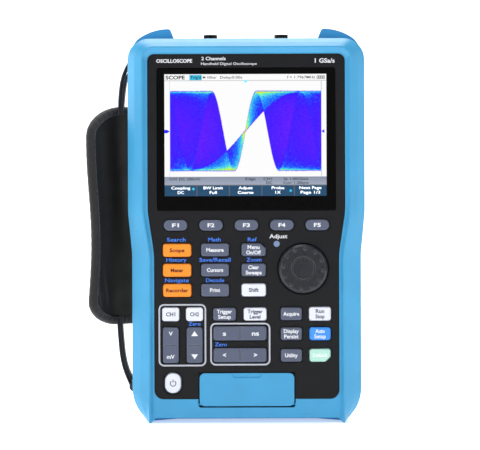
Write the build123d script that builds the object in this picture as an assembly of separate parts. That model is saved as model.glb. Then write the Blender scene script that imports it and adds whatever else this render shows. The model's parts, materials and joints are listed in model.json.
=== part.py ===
"""Handheld oscilloscope with a hand strap, built as separate pieces. Millimetres.

The instrument stands upright: +Z is up, the screen faces -Y and +X is to the right as seen
from the front. The origin is on the surface that it stands on, in the middle of its base.
Every piece is written to parts/NAME.step in its assembled place.
"""
from build123d import *
import os
from math import acos, cos, radians, sin, tan

os.makedirs("parts", exist_ok=True)

# ---------------------------------------------------------------- driving dimensions
WIDE, NARROW = 82.7, 79.9          # half widths of the casing, upper and lower
RIM_TOP = 268.3                    # top of the front rim
CREST_WIDE, CREST_NARROW = 72.7, 67.8
CREST_TOP = 261.9
PANEL_WIDE, PANEL_NARROW = 68.9, 64.5
PANEL_TOP, PANEL_BOTTOM = 257.3, 16.6
SKIRT_Z = 3.4                      # lower edge of the casing between the feet
CREST_Y = -30.0                    # the ridge that stands in front of the panel
LEDGE_Y = -27.6                    # ledge between the ridge and the panel
PANEL_Y = -27.0                    # front face of the panel
PANEL_THICK = 2.2
EDGE_Y = -22.0                     # where the rim is widest
SPLIT_Y = -16.0                    # joint between the front frame and the rear cover
CHAMFER_Y = -2.0                   # where the rear cover starts to narrow
REAR_Y = 30.0
WALL = 2.6
GAP = 0.6                          # slot round each key
SEAL_DEPTH = 0.8

PANEL_BACK = PANEL_Y + PANEL_THICK
KEY_FACE_Y = -28.8
KEY_FLANGE_Y = (-23.4, -22.6)
MAT_Y = (-21.2, -20.0)
BOARD_Y = (-20.0, -18.4)

# name: centre x, centre z, width, height
SOFT_KEYS = {f"key_f{i + 1}": (-49.4 + 24.7 * i, 137.8, 16.4, 7.4) for i in range(5)}
KEYS = {
    "key_scope": (-48.4, 120.4, 19.6, 8.9),
    "key_meter": (-48.4, 106.5, 19.6, 8.9),
    "key_recorder": (-48.4, 92.5, 19.6, 8.9),
    "key_measure": (-22.0, 120.6, 19.3, 8.8),
    "key_cursors": (-22.0, 106.6, 19.3, 8.8),
    "key_print": (-22.0, 92.6, 19.3, 8.8),
    "key_menu": (4.9, 120.6, 16.8, 8.8),
    "key_clear": (4.9, 106.6, 16.8, 8.8),
    "key_shift": (4.9, 92.6, 16.8, 8.8),
    "key_channel_1": (-53.0, 75.8, 11.8, 9.4),
    "key_channel_2": (-36.4, 75.8, 11.8, 9.4),
    "key_trigger_setup": (-15.5, 75.8, 15.8, 8.8),
    "key_trigger_level": (5.8, 75.8, 15.8, 8.8),
    "key_acquire": (31.0, 75.9, 14.6, 8.8),
    "key_display": (31.0, 62.0, 14.6, 8.8),
    "key_utility": (31.0, 47.0, 14.6, 8.8),
    "key_run_stop": (51.0, 75.9, 15.1, 9.4),
    "key_auto_setup": (51.0, 62.0, 14.6, 8.9),
    "key_default": (51.0, 47.0, 14.6, 8.9),
}
ROCKERS = {
    "rocker_volts": (-53.0, 54.3, 11.0, 24.8),
    "rocker_position": (-36.4, 54.3, 11.0, 24.8),
    "rocker_time": (-4.8, 62.4, 36.9, 9.8),
    "rocker_horizontal": (-4.8, 47.3, 36.9, 9.8),
}
POWER_KEY = (-51.5, 27.9, 11.0, 13.7)
KEY_RADIUS = 1.8
FLANGE = 1.3                       # how far a key's flange stands out of its cap

DIAL_X, DIAL_Z, DIAL_R, DIAL_HOLE_R = 39.4, 107.3, 17.0, 18.0
LAMP_X, LAMP_Z, LAMP_R = 21.0, 124.7, 2.1

WINDOW = (0.0, 197.7, 124.9, 100.0)
LIT_AREA = (-0.5, 200.6, 112.9, 85.0)

DOOR_HALF, DOOR_LOW, DOOR_TOP = 33.0, 11.6, 34.6
DOOR_FRONT, DOOR_BACK = -27.3, -25.3
DOOR_AXIS_Y, DOOR_AXIS_Z = -25.8, 12.9
DOOR_PIN_R, DOOR_PIN_END, RUNNING = 0.8, 35.2, 0.05
DOOR_CORNER, DOOR_GAP = 3.6, 0.9   # corner radius, and the slot round the door in the frame
NOTCH_CORNER = 2.2                 # tighter than the door's, so that the open door clears it
DOOR_SWEEP = 1.9                   # radius that the door's lower edge turns in
SOCKET_X = [-21.75, -7.25, 7.25, 21.75]
SOCKET_Z, SOCKET_R, JACK_R = 23.2, 6.0, 2.0
BAY_FLOOR_Y = -14.5

BNC_X, BNC_Y, BNC_TIP = 25.0, 4.0, 272.2
COVER_TOP, COVER_LOW = 258.0, 6.5
COVER_WIDE, COVER_NARROW = WIDE - 2.7, NARROW - 2.7
BACK_WIDE, BACK_NARROW = 61.0, 59.0  # half widths of the cover's flat back
BACK_TOP, BACK_LOW = COVER_TOP - 8.0, COVER_LOW + 6.0

STAND_LOW, STAND_HALF, STAND_LEG, STAND_FOOT = 16.0, 55.0, 11.0, 14.0
STAND_AXIS_Y, STAND_AXIS_Z = 26.8, 150.0
STAND_SLOT_Y = 24.0                # floor of the channel that the stand folds into
BATTERY_X, BATTERY_LOW, BATTERY_TOP = 37.0, 38.5, 98.0

PORT_Y, PORT_LOW, PORT_TOP = (-11.0, -5.0), 168.0, 208.0
FLAP_AXIS_Y = -4.9
SCREWS = [(side * x, z) for x, z in ((70.0, 247.0), (68.5, 132.0), (66.0, 14.0)) for side in (-1, 1)]
SCREW_HEAD_Y, SCREW_END_Y = 4.0, -20.0

PAD_CENTRE = (-91.0, 5.7, 145.0)
PAD_WIDTH, PAD_HEIGHT, PAD_THICK = 69.0, 155.0, 7.0
PAD_TILT = 32.5
BAR_X, BAR_Y, BAR_R = -79.6, 12.0, 1.6
BAR_Z = (252.0, 24.0)
WEB_WIDTH, WEB_THICK = 20.0, 3.0


# ---------------------------------------------------------------- helpers
def front_plane(y):
    """A plane facing the viewer at depth y: its x is +X and its y is +Z."""
    return Plane(origin=(0, y, 0), x_dir=(1, 0, 0), z_dir=(0, -1, 0))


def slab(sketch, front, back):
    """A sketch drawn in front view, given thickness from depth front to depth back."""
    return extrude(front_plane(back) * sketch, amount=back - front)


def rounded_outline(corners):
    """A closed outline through corners (x, z, radius), each rounded with a tangent arc."""
    starts, arcs, ends = [], [], []
    for i, (x, z, radius) in enumerate(corners):
        before, after = corners[i - 1], corners[(i + 1) % len(corners)]
        a = Vector(before[0] - x, before[1] - z).normalized()
        b = Vector(after[0] - x, after[1] - z).normalized()
        half = acos(max(-1.0, min(1.0, a.dot(b)))) / 2
        corner, middle = Vector(x, z), (a + b).normalized()
        reach = radius / tan(half)
        starts.append(corner + a * reach)
        ends.append(corner + b * reach)
        arcs.append(ThreePointArc(starts[-1], corner + middle * (radius / sin(half) - radius), ends[-1]))
    edges = []
    for i, arc in enumerate(arcs):
        edges += [Line(ends[i - 1], starts[i]), arc]
    return make_face(edges)


def both_sides(half):
    """The corner list of the right half, from the bottom up, completed with its mirror image."""
    return half + [(-x, z, radius) for x, z, radius in reversed(half)]


def shield(upper, lower, top, bottom, top_radius, low_radius):
    """Corners of the casing's outline: wide above, narrow below, with an easy waist between."""
    waist = 60.0
    return both_sides([
        (lower, bottom, low_radius), (lower, 118.0, waist), (upper, 147.0, waist), (upper, top, top_radius)])


def between(first, second, share):
    """Corner by corner mix of two outlines with the same number of corners."""
    return [tuple(p + (q - p) * share for p, q in zip(a, b)) for a, b in zip(first, second)]


def stacked(sections):
    """A solid through outlines at depths: [(corners, y), ...]."""
    return loft([front_plane(y) * rounded_outline(corners) for corners, y in sections], ruled=True)


def box(low, high):
    """A box between two opposite corners."""
    size = [b - a for a, b in zip(low, high)]
    centre = [(a + b) / 2 for a, b in zip(low, high)]
    return Pos(*centre) * Box(*size)


def rod(x, z, radius, front, back):
    """A round bar along Y."""
    return slab(Pos(x, z) * Circle(radius), front, back)


def rounded_box(centre_x, centre_z, width, height, radius, front, back):
    """A block with rounded corners in front view."""
    return slab(Pos(centre_x, centre_z) * RectangleRounded(width, height, radius), front, back)


def turned(y, z, length, radius):
    """A round bar along X, centred on x = 0."""
    return Pos(0, y, z) * Rot(0, 90, 0) * Cylinder(radius, length)


def save(name, shape):
    """Write one piece to its own file."""
    shape.label = name
    export_step(shape, f"parts/{name}.step")


# ---------------------------------------------------------------- outlines of the casing
FOOT_IN, FOOT_OUT = 67.0, 68.6     # flat of each foot tip
EDGE = both_sides([
    (FOOT_IN - SKIRT_Z, SKIRT_Z, 1.0), (FOOT_IN, 0.0, 0.3), (FOOT_OUT, 0.0, 0.3), (NARROW, 14.4, 27.0),
    (NARROW, 118.0, 60.0), (WIDE, 147.0, 60.0), (WIDE, RIM_TOP, 15.0)])
CREST_HALF = 0.5
CREST_OUT = both_sides([
    (FOOT_IN - SKIRT_Z, SKIRT_Z, 1.0), (FOOT_IN, 0.0, 0.3), (FOOT_OUT - 0.5, 0.0, 0.3),
    (CREST_NARROW + CREST_HALF, 14.4, 27.0), (CREST_NARROW + CREST_HALF, 118.0, 60.0),
    (CREST_WIDE + CREST_HALF, 147.0, 60.0), (CREST_WIDE + CREST_HALF, CREST_TOP + CREST_HALF, 8.5)])
CREST_IN = shield(CREST_WIDE - CREST_HALF, CREST_NARROW - CREST_HALF, CREST_TOP - CREST_HALF, -8.0, 7.6, 1.0)
LEDGE = shield(PANEL_WIDE + 0.9, PANEL_NARROW + 0.9, PANEL_TOP + 0.9, -8.0, 5.6, 1.0)
PANEL = shield(PANEL_WIDE, PANEL_NARROW, PANEL_TOP, PANEL_BOTTOM, 5.0, 6.4)


def cover_solid(inset=0.0, rear=REAR_Y):
    """The rear cover's outside shape, or the same shape made smaller all round by an inset."""
    front = shield(COVER_WIDE - inset, COVER_NARROW - inset, COVER_TOP - inset, COVER_LOW + inset, 12, 12)
    back = shield(BACK_WIDE - inset, BACK_NARROW - inset, BACK_TOP - inset, BACK_LOW + inset, 10, 10)
    return stacked([(front, SPLIT_Y), (front, CHAMFER_Y), (back, rear)])


def key_outline(width, height, radius, cut=None):
    """Outline of a key: rounded corners, with one corner cut off at a slant where cut names it."""
    w, h = width / 2, height / 2
    slant_x, slant_z = 3.8, 3.5
    corners = {"br": (w, -h), "tr": (w, h), "tl": (-w, h), "bl": (-w, -h)}
    points = []
    for name, (x, z) in corners.items():
        if name != cut:
            points.append((x, z, radius))
            continue
        across, along = (x - slant_x, z, 0.9), (x, z - slant_z * (1 if z > 0 else -1), 0.9)
        points += [along, across] if name == "tr" else [across, along]
    return rounded_outline(points)


def key_cap(spec, radius=KEY_RADIUS, cut=None, face=KEY_FACE_Y):
    """A key: a cap with a bevelled front edge on a wider flange that keeps it behind the panel."""
    x, z, width, height = spec
    place = Pos(x, z)
    bevel = 0.7
    lower = key_outline(width, height, radius, cut)
    top = key_outline(width - 2 * bevel, height - 2 * bevel, max(radius - bevel, 0.5), cut)
    cap = slab(place * lower, face + 0.6, KEY_FLANGE_Y[1])
    cap += loft([front_plane(face + 0.6) * (place * lower), front_plane(face) * (place * top)], ruled=True)
    flange = key_outline(width + 2 * FLANGE, height + 2 * FLANGE, radius + FLANGE * 0.5)
    return cap + slab(place * flange, *KEY_FLANGE_Y)


def key_hole(spec, radius=KEY_RADIUS, cut=None):
    """The hole in the panel that a key comes through."""
    x, z, width, height = spec
    outline = key_outline(width + 2 * GAP, height + 2 * GAP, radius + GAP, cut)
    return slab(Pos(x, z) * outline, PANEL_Y - 1, PANEL_BACK + 1)


CUTS = {"key_menu": "tr", "key_default": "br"}


# ---------------------------------------------------------------- casing
def front_bezel():
    """Blue frame: a sloping rim, a ridge round the panel, and the two foot tips."""
    body = stacked([
        (EDGE, SPLIT_Y), (EDGE, EDGE_Y), (between(EDGE, CREST_OUT, 0.5), -26.5),
        (between(EDGE, CREST_OUT, 0.93), -29.5), (CREST_OUT, CREST_Y)])
    pocket = stacked([(LEDGE, LEDGE_Y), (CREST_IN, CREST_Y - 0.01)])
    opening = slab(rounded_outline(PANEL), LEDGE_Y - 1, PANEL_BACK)
    inside = shield(PANEL_WIDE - 2.4, PANEL_NARROW - 2.4, PANEL_TOP - 2.4, PANEL_BOTTOM + 2.4, 4.0, 4.0)
    inner = slab(rounded_outline(inside), PANEL_BACK - 1, SPLIT_Y + 1)
    notch_low, notch_top = DOOR_LOW - DOOR_GAP, DOOR_TOP
    notch = rounded_box(0, (notch_low + notch_top) / 2, 2 * (DOOR_HALF + DOOR_GAP), notch_top - notch_low,
                        NOTCH_CORNER, LEDGE_Y - 1, SPLIT_Y + 1)
    frame = body - pocket - opening - inner - notch
    frame -= turned(DOOR_AXIS_Y, DOOR_AXIS_Z, 2 * DOOR_PIN_END + 1.0, DOOR_PIN_R + RUNNING)
    frame -= casing_seal()
    channel_out = shield(WIDE - 7.0, NARROW - 7.0, RIM_TOP, 0.0, 4, 4)
    channel_in = shield(PANEL_WIDE + 1.2, PANEL_NARROW + 1.2, RIM_TOP - 6, 6.0, 4, 4)
    channel = slab(rounded_outline(channel_out) - rounded_outline(channel_in), EDGE_Y, SPLIT_Y + 1)
    channel &= box((-90, -30, 30), (90, 0, 236))
    for x, z in SCREWS:
        channel -= rod(x, z, 4.2, EDGE_Y - 1, SPLIT_Y + 2)
    frame -= channel
    for x, z in SCREWS:
        frame -= rod(x, z, 1.5 + RUNNING, SCREW_END_Y - 0.6, SPLIT_Y + 1)
    return frame


def casing_seal():
    """Rubber cord in the groove between the frame and the rear cover."""
    outer = shield(WIDE - 4.0, NARROW - 4.0, COVER_TOP - 1.3, COVER_LOW + 1.3, 12, 12)
    inner = shield(WIDE - 5.0, NARROW - 5.0, COVER_TOP - 2.3, COVER_LOW + 2.3, 11, 11)
    return slab(rounded_outline(outer) - rounded_outline(inner), SPLIT_Y - SEAL_DEPTH, SPLIT_Y)


def front_panel():
    """Black fascia with the key holes, the screen window's seat and the terminal bay behind the door."""
    seat = 0.1
    outline = shield(PANEL_WIDE - seat, PANEL_NARROW - seat, PANEL_TOP - seat, PANEL_BOTTOM + seat, 4.9, 6.3)
    plate = slab(rounded_outline(outline), PANEL_Y, PANEL_BACK)
    x, z, width, height = WINDOW
    plate -= rounded_box(x, z, width + 0.2, height + 0.2, 1.6, PANEL_Y - 1, PANEL_Y + 1.4)
    x, z, width, height = LIT_AREA
    plate -= rounded_box(x, z, width + 1.6, height + 1.6, 0.8, PANEL_Y - 1, PANEL_BACK + 1)
    for name, spec in {**KEYS, **ROCKERS}.items():
        plate -= key_hole(spec, cut=CUTS.get(name))
    for spec in SOFT_KEYS.values():
        plate -= key_hole(spec, radius=spec[3] / 2 - 0.1)
    plate -= key_hole(POWER_KEY, radius=5.2)
    x, z, width, height = POWER_KEY
    plate -= rounded_box(x, z, width + 3.4, height + 3.4, 6.8, PANEL_Y - 1, PANEL_Y + 0.9)
    plate -= rod(DIAL_X, DIAL_Z, DIAL_HOLE_R, PANEL_Y - 1, PANEL_BACK + 1)
    plate -= rod(LAMP_X, LAMP_Z, LAMP_R + 0.1, PANEL_Y - 1, PANEL_BACK + 1)
    bay_half, bay_low, bay_top, bay_wall = 30.5, 14.2, 33.0, 1.5
    bay = box((-bay_half - bay_wall, PANEL_BACK, bay_low - bay_wall),
              (bay_half + bay_wall, BAY_FLOOR_Y + bay_wall, bay_top + bay_wall))
    door_hole = box((-DOOR_HALF - 0.7, PANEL_Y - 1, 0), (DOOR_HALF + 0.7, PANEL_BACK, DOOR_TOP + 0.7))
    finger = loft([
        front_plane(PANEL_Y - 0.01) * (Pos(0, DOOR_TOP + 1.0) * RectangleRounded(21, 6.4, 2.2)),
        front_plane(PANEL_Y + 0.9) * (Pos(0, DOOR_TOP + 0.6) * RectangleRounded(18.6, 4.8, 1.6))], ruled=True)
    rim = box((-DOOR_HALF - 3, PANEL_BACK, PANEL_BOTTOM + 2.6),
              (DOOR_HALF + 3, PANEL_BACK + bay_wall, DOOR_TOP + 3))
    plate = plate - door_hole - finger + bay + rim
    plate -= box((-bay_half, PANEL_BACK - 1, bay_low), (bay_half, BAY_FLOOR_Y, bay_top))
    plate -= turned(DOOR_AXIS_Y, DOOR_AXIS_Z, 2 * DOOR_PIN_END + 1.0, DOOR_SWEEP + 0.4)
    for x in SOCKET_X:
        plate -= rod(x, SOCKET_Z, SOCKET_R, BAY_FLOOR_Y - 1, BAY_FLOOR_Y + bay_wall + 1)
    return plate


def terminal_door():
    """Blue lid over the meter terminals, on two moulded pins that stand out of a knuckle along its foot."""
    middle, height = (DOOR_LOW + DOOR_TOP) / 2, DOOR_TOP - DOOR_LOW
    lid = rounded_box(0, middle, 2 * DOOR_HALF, height, DOOR_CORNER, DOOR_FRONT, DOOR_BACK)
    lid &= box((-40, DOOR_FRONT - 1, DOOR_AXIS_Z), (40, DOOR_BACK + 1, DOOR_TOP))
    foot = rounded_box(0, middle, 2 * DOOR_HALF, height, DOOR_CORNER, DOOR_FRONT, DOOR_AXIS_Y - 0.4)
    foot &= box((-40, DOOR_FRONT - 1, DOOR_LOW), (40, DOOR_BACK, DOOR_AXIS_Z + 1))
    foot &= turned(DOOR_AXIS_Y, DOOR_AXIS_Z, 2 * DOOR_HALF, DOOR_SWEEP)
    lid -= loft([
        front_plane(DOOR_FRONT - 0.01) * (Pos(0, DOOR_TOP) * RectangleRounded(21, 6.4, 2.2)),
        front_plane(DOOR_FRONT + 0.7) * (Pos(0, DOOR_TOP) * RectangleRounded(19.4, 5.2, 1.8))], ruled=True)
    knuckle = turned(DOOR_AXIS_Y, DOOR_AXIS_Z, 2 * (DOOR_HALF - DOOR_CORNER), DOOR_AXIS_Z - DOOR_LOW)
    pins = turned(DOOR_AXIS_Y, DOOR_AXIS_Z, 2 * DOOR_PIN_END, DOOR_PIN_R)
    return lid + foot + knuckle + pins


def meter_socket(x):
    """A shrouded 4 mm socket: an outer collar, a metal-lined jack and a flange behind the bay floor."""
    shroud = rod(x, SOCKET_Z, SOCKET_R - 0.1, -24.2, BAY_FLOOR_Y + 1.5)
    shroud -= rod(x, SOCKET_Z, SOCKET_R - 1.3, -25, -16.0)
    jack = rod(x, SOCKET_Z, JACK_R + 0.9, -22.4, -12.0)
    flange = rod(x, SOCKET_Z, SOCKET_R + 0.6, BAY_FLOOR_Y + 1.5, -12.0)
    return shroud + flange + jack - rod(x, SOCKET_Z, JACK_R, -25, -12.8)


def cover_plate_pocket():
    """Space in the rear cover that the battery door closes."""
    middle = (BATTERY_LOW + BATTERY_TOP) / 2
    return rounded_box(0, middle, 2 * BATTERY_X + 8, BATTERY_TOP - BATTERY_LOW + 6, 3, REAR_Y - 2.2, REAR_Y + 1)


def stand_frame(gap=0.0):
    """The stand in front view: two legs, a broad foot and the bar on its axis, with a gap all round."""
    low, high = STAND_LOW - gap, STAND_AXIS_Z + 2.0 + gap
    outer = Pos(0, (low + high) / 2) * RectangleRounded(2 * (STAND_HALF + gap), high - low, 2.0)
    inner_low, inner_high = STAND_LOW + STAND_FOOT + gap, STAND_AXIS_Z - 2.0 - gap
    inner = Pos(0, (inner_low + inner_high) / 2) * RectangleRounded(
        2 * (STAND_HALF - STAND_LEG - gap), inner_high - inner_low, 4.0)
    return outer - inner


def stand_channel():
    """Channel in the rear cover for the folded stand, with a finger hollow above its foot."""
    channel = slab(stand_frame(0.6), STAND_SLOT_Y, REAR_Y + 1)
    hollow = STAND_LOW + STAND_FOOT
    return channel + box((-10, STAND_SLOT_Y, hollow - 1), (10, REAR_Y + 1, hollow + 4.2))


def rear_cover():
    """Dark rear shell with bays for the battery and the stand, side sockets and the two strap bars."""
    shell = cover_solid() - cover_solid(WALL, REAR_Y - WALL)
    backing = box((-STAND_HALF - 8, STAND_SLOT_Y - WALL, 0), (STAND_HALF + 8, REAR_Y - 1, STAND_AXIS_Z + 7))
    shell += backing & cover_solid(0.8, REAR_Y - 0.8)
    shell -= stand_channel()
    shell -= turned(STAND_AXIS_Y, STAND_AXIS_Z, 2 * STAND_HALF + 7, 1.5 + RUNNING)
    low, high = BATTERY_LOW, BATTERY_TOP
    bay = box((-BATTERY_X - 6, 6.0, low - 5), (BATTERY_X + 6, REAR_Y - 1, high + 5))
    shell += bay & cover_solid(1.0, REAR_Y - 1.0)
    shell -= box((-BATTERY_X, 8.0, low), (BATTERY_X, REAR_Y + 1, high))
    shell -= cover_plate_pocket()
    for x in (-BATTERY_X - 1.6, BATTERY_X + 1.6):
        shell -= rod(x, (low + high) / 2, 1.05, 18.0, REAR_Y)
    for x, z in SCREWS:
        shell += rod(x, z, 4.2, SPLIT_Y, REAR_Y) & cover_solid(0.5, REAR_Y - 0.5)
        shell -= rod(x, z, 1.7, SPLIT_Y - 1, REAR_Y + 1)
        shell -= rod(x, z, 3.1, SCREW_HEAD_Y, REAR_Y + 1)
    for x in (-BNC_X, BNC_X):
        shell -= Pos(x, BNC_Y, COVER_TOP) * Cylinder(5.0, 12)
    side = COVER_WIDE
    low_y, high_y = PORT_Y
    block = box((side - 9, low_y - 3, PORT_LOW - 4), (side - 1, high_y + 4, PORT_TOP + 4))
    shell += block & cover_solid(0.6, REAR_Y - 0.6)
    shell -= box((side - 3.2, low_y - 2, PORT_LOW - 3), (side + 1, high_y + 3.2, PORT_TOP + 3))
    shell -= Pos(side - 1.6, FLAP_AXIS_Y + 1.0, (PORT_LOW + PORT_TOP) / 2) * Cylinder(0.85, PORT_TOP - PORT_LOW + 10)
    for z, width, height in ((176.5, 5.0, 13.4), (191.0, 3.4, 9.2)):
        shell -= box((side - 12, low_y + 3 - width / 2, z - height / 2),
                     (side, low_y + 3 + width / 2, z + height / 2))
    shell -= Pos(side - 6, low_y + 3, 202.5) * Rot(0, 90, 0) * Cylinder(4.3, 14)
    for z in BAR_Z:
        for y in (BAR_Y - WEB_WIDTH / 2 - 1.6, BAR_Y + WEB_WIDTH / 2 + 1.6):
            lug = Pos(BAR_X, y, z) * Rot(90, 0, 0) * Cylinder(3.4, 2.4)
            lug += box((BAR_X, y - 1.2, z - 3.4), (-56.0, y + 1.2, z + 3.4))
            shell += lug - cover_solid(1.2, REAR_Y - 1.2)
        shell -= Pos(BAR_X, BAR_Y, z) * Rot(90, 0, 0) * Cylinder(3.8, WEB_WIDTH + 0.8)
        shell += Pos(BAR_X, BAR_Y, z) * Rot(90, 0, 0) * Cylinder(BAR_R, WEB_WIDTH + 3)
    return shell


def ear(side):
    """Raised corner that guards the input sockets, in front view: a long arc over a slanting end."""
    radius, tip_x, tip_z = 36.0, 53.2, 275.5
    reach_x = WIDE - 0.6
    drop = radius - (radius ** 2 - (reach_x - tip_x - 1) ** 2) ** 0.5
    middle_x = tip_x + 1 + radius * sin(radians(25))
    middle_z = tip_z - radius * (1 - cos(radians(25)))
    edges = [
        Line((44.5, COVER_TOP - 4), (tip_x - 0.3, tip_z - 0.8)),
        Line((tip_x - 0.3, tip_z - 0.8), (tip_x + 1, tip_z)),
        ThreePointArc((tip_x + 1, tip_z), (middle_x, middle_z), (reach_x, tip_z - drop)),
        Line((reach_x, tip_z - drop), (reach_x, 226)),
        Line((reach_x, 226), (reach_x - 4, 220)),
        Line((reach_x - 4, 220), (reach_x - 4, COVER_TOP - 4)),
        Line((reach_x - 4, COVER_TOP - 4), (44.5, COVER_TOP - 4))]
    block = slab(make_face(edges), SPLIT_Y + 2, 22.0)
    return block if side > 0 else mirror(block, about=Plane.YZ)


def bumper():
    """Blue guard behind the rim: a ring round the cover, two ears above and the foot runners below."""
    edge = [(x - 0.5 if x > 70 else x + 0.5 if x < -70 else x, z - 0.5 if z > 250 else z, radius)
            for x, z, radius in EDGE]
    ring = slab(rounded_outline(edge), SPLIT_Y, SPLIT_Y + 3)
    boot = slab(rounded_outline(edge), SPLIT_Y + 2, CHAMFER_Y)
    narrowing, rear_end = 16.5, 24.0
    tail = [(x - narrowing if x > 0 else x + narrowing, z, radius) for x, z, radius in edge]
    boot += stacked([(edge, CHAMFER_Y), (tail, rear_end)]) & box((-90, -20, 3.4), (90, 40, 300))
    boot &= box((-90, -20, -1), (90, rear_end + 1, 27.0))
    guard = ring + boot
    ear_top, ear_round = 276.0, 24.0
    limit = shield(WIDE - 0.5, NARROW - 0.5, ear_top, -5.0, ear_round, 2)
    limit_rear = shield(WIDE - 0.5 - narrowing, NARROW - 0.5 - narrowing, ear_top, -5.0, ear_round, 2)
    reach = stacked([(limit, SPLIT_Y), (limit, CHAMFER_Y), (limit_rear, rear_end)])
    for side in (1, -1):
        guard += ear(side) & reach
    back_x, back_y, bar = 52.0, 22.5, 2.4
    outer = Polygon((FOOT_OUT, -9), (FOOT_OUT, CHAMFER_Y + 2), (back_x, back_y), (-back_x, back_y),
                    (-FOOT_OUT, CHAMFER_Y + 2), (-FOOT_OUT, -9), align=None)
    inner = Polygon((FOOT_OUT - bar, -10), (FOOT_OUT - bar, CHAMFER_Y + 1), (back_x - bar, back_y - bar),
                    (bar - back_x, back_y - bar), (bar - FOOT_OUT, CHAMFER_Y + 1), (bar - FOOT_OUT, -10), align=None)
    guard += extrude(outer - inner, amount=SKIRT_Z + 1.0)
    strap_y = (BAR_Y - WEB_WIDTH / 2 - 3.6, rear_end + 1)
    guard -= box((-95, strap_y[0], 200), (-60, strap_y[1], BAR_Z[0] + 8))
    guard -= box((-95, strap_y[0], BAR_Z[1] - 8), (-60, strap_y[1], 40))
    return guard - cover_solid()


def casing_screws():
    """Six pan-head screws that hold the rear cover to the front frame."""
    screws = []
    head = SCREW_HEAD_Y
    for x, z in SCREWS:
        screw = rod(x, z, 1.5, SCREW_END_Y, head) + rod(x, z, 2.8, head, head + 2.0)
        screws.append(screw - rod(x, z, 1.0, head + 0.9, head + 3))
    return Compound(children=screws)


def rear_feet():
    """Four rubber pads that the instrument lies on."""
    return Compound(children=[
        rod(side * x, z, 5.0, REAR_Y, REAR_Y + 1.6) for x, z in ((44, 238.0), (28, 118.0)) for side in (-1, 1)])


def kickstand():
    """Fold-out stand: two legs and a foot under a round bar, which turns on two moulded stub axles."""
    frame = slab(stand_frame(), STAND_AXIS_Y - 2.0, STAND_AXIS_Y + 2.0)
    frame &= box((-60, 20, 0), (60, 40, STAND_AXIS_Z))
    between_legs = STAND_HALF - STAND_LEG
    frame -= box((-between_legs, 20, STAND_AXIS_Z - 6), (between_legs, 40, STAND_AXIS_Z + 1))
    frame += turned(STAND_AXIS_Y, STAND_AXIS_Z, 2 * STAND_HALF, 2.0)
    return frame + turned(STAND_AXIS_Y, STAND_AXIS_Z, 2 * STAND_HALF + 6, 1.5)


def battery_door():
    """Flat lid over the battery, held by two screws."""
    middle = (BATTERY_LOW + BATTERY_TOP) / 2
    lid = rounded_box(0, middle, 2 * BATTERY_X + 7.6, BATTERY_TOP - BATTERY_LOW + 5.6, 2.8, REAR_Y - 2.2, REAR_Y)
    for x in (-BATTERY_X - 1.6, BATTERY_X + 1.6):
        lid -= rod(x, middle, 1.25, REAR_Y - 3, REAR_Y + 1) + rod(x, middle, 2.1, REAR_Y - 1.2, REAR_Y + 1)
    for i in range(5):
        lid -= rounded_box(0, middle + 16 - 2.4 * i, 22, 1.0, 0.45, REAR_Y - 0.5, REAR_Y + 1)
    return lid


def battery_door_screws():
    """Two countersunk screws of the battery lid."""
    middle = (BATTERY_LOW + BATTERY_TOP) / 2
    screws = []
    for x in (-BATTERY_X - 1.6, BATTERY_X + 1.6):
        screw = rod(x, middle, 1.0, 19.0, REAR_Y - 1.2) + rod(x, middle, 1.95, REAR_Y - 1.2, REAR_Y - 0.2)
        screws.append(screw - rod(x, middle, 0.7, REAR_Y - 0.7, REAR_Y + 1))
    return Compound(children=screws)


def battery_pack():
    """Rechargeable pack in its bay."""
    return rounded_box(0, (BATTERY_LOW + BATTERY_TOP) / 2, 2 * BATTERY_X - 1.6, BATTERY_TOP - BATTERY_LOW - 1.6,
                       5, 8.6, REAR_Y - 3.0)


# ---------------------------------------------------------------- electronics
def screen_window():
    """Clear scratch-proof window that fills the seat in the panel."""
    x, z, width, height = WINDOW
    return rounded_box(x, z, width, height, 1.5, PANEL_Y, PANEL_Y + 1.4)


def lcd_module():
    """Display module behind the window: a metal-backed frame with a raised glass."""
    x, z, width, height = LIT_AREA
    glass = rounded_box(x, z, width + 1.2, height + 1.2, 0.6, PANEL_Y + 1.5, PANEL_BACK)
    return glass + rounded_box(x, z, width + 12, height + 10, 1.5, PANEL_BACK, BOARD_Y[1])


def keypad_mat():
    """Silicone sheet under the keys."""
    mat = slab(rounded_outline(both_sides([(61.5, 38.0, 3), (61.5, 144.5, 3)])), *MAT_Y)
    mat += rounded_box(POWER_KEY[0], 32.0, 18, 20, 3, *MAT_Y)
    mat -= rod(DIAL_X, DIAL_Z, 10.5, -22, -19)
    return mat - rod(LAMP_X, LAMP_Z, 3.0, -22, -19)


def keypad_board():
    """Circuit board that carries the key contacts and the encoder."""
    board = slab(rounded_outline(both_sides([(61.5, 38.0, 2), (61.5, 144.5, 2)])), *BOARD_Y)
    return board + rounded_box(POWER_KEY[0], 32.0, 18, 20, 2, *BOARD_Y)


def main_board():
    """Main circuit board with two screening cans over the input stages."""
    board = slab(rounded_outline(shield(70, 67, 246, 78, 4, 4)), -9.5, -7.9)
    for x in (-BNC_X, BNC_X):
        board += box((x - 14, -7.9, 200), (x + 14, -2.5, 236))
    board += box((-40, -7.9, 120), (10, 1.0, 165))
    for x, z in SCREWS:
        board -= rod(x, z, 5.0, -12, -5)
    return board - box((62, -12, PORT_LOW - 6), (80, 0, PORT_TOP + 6))


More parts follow.
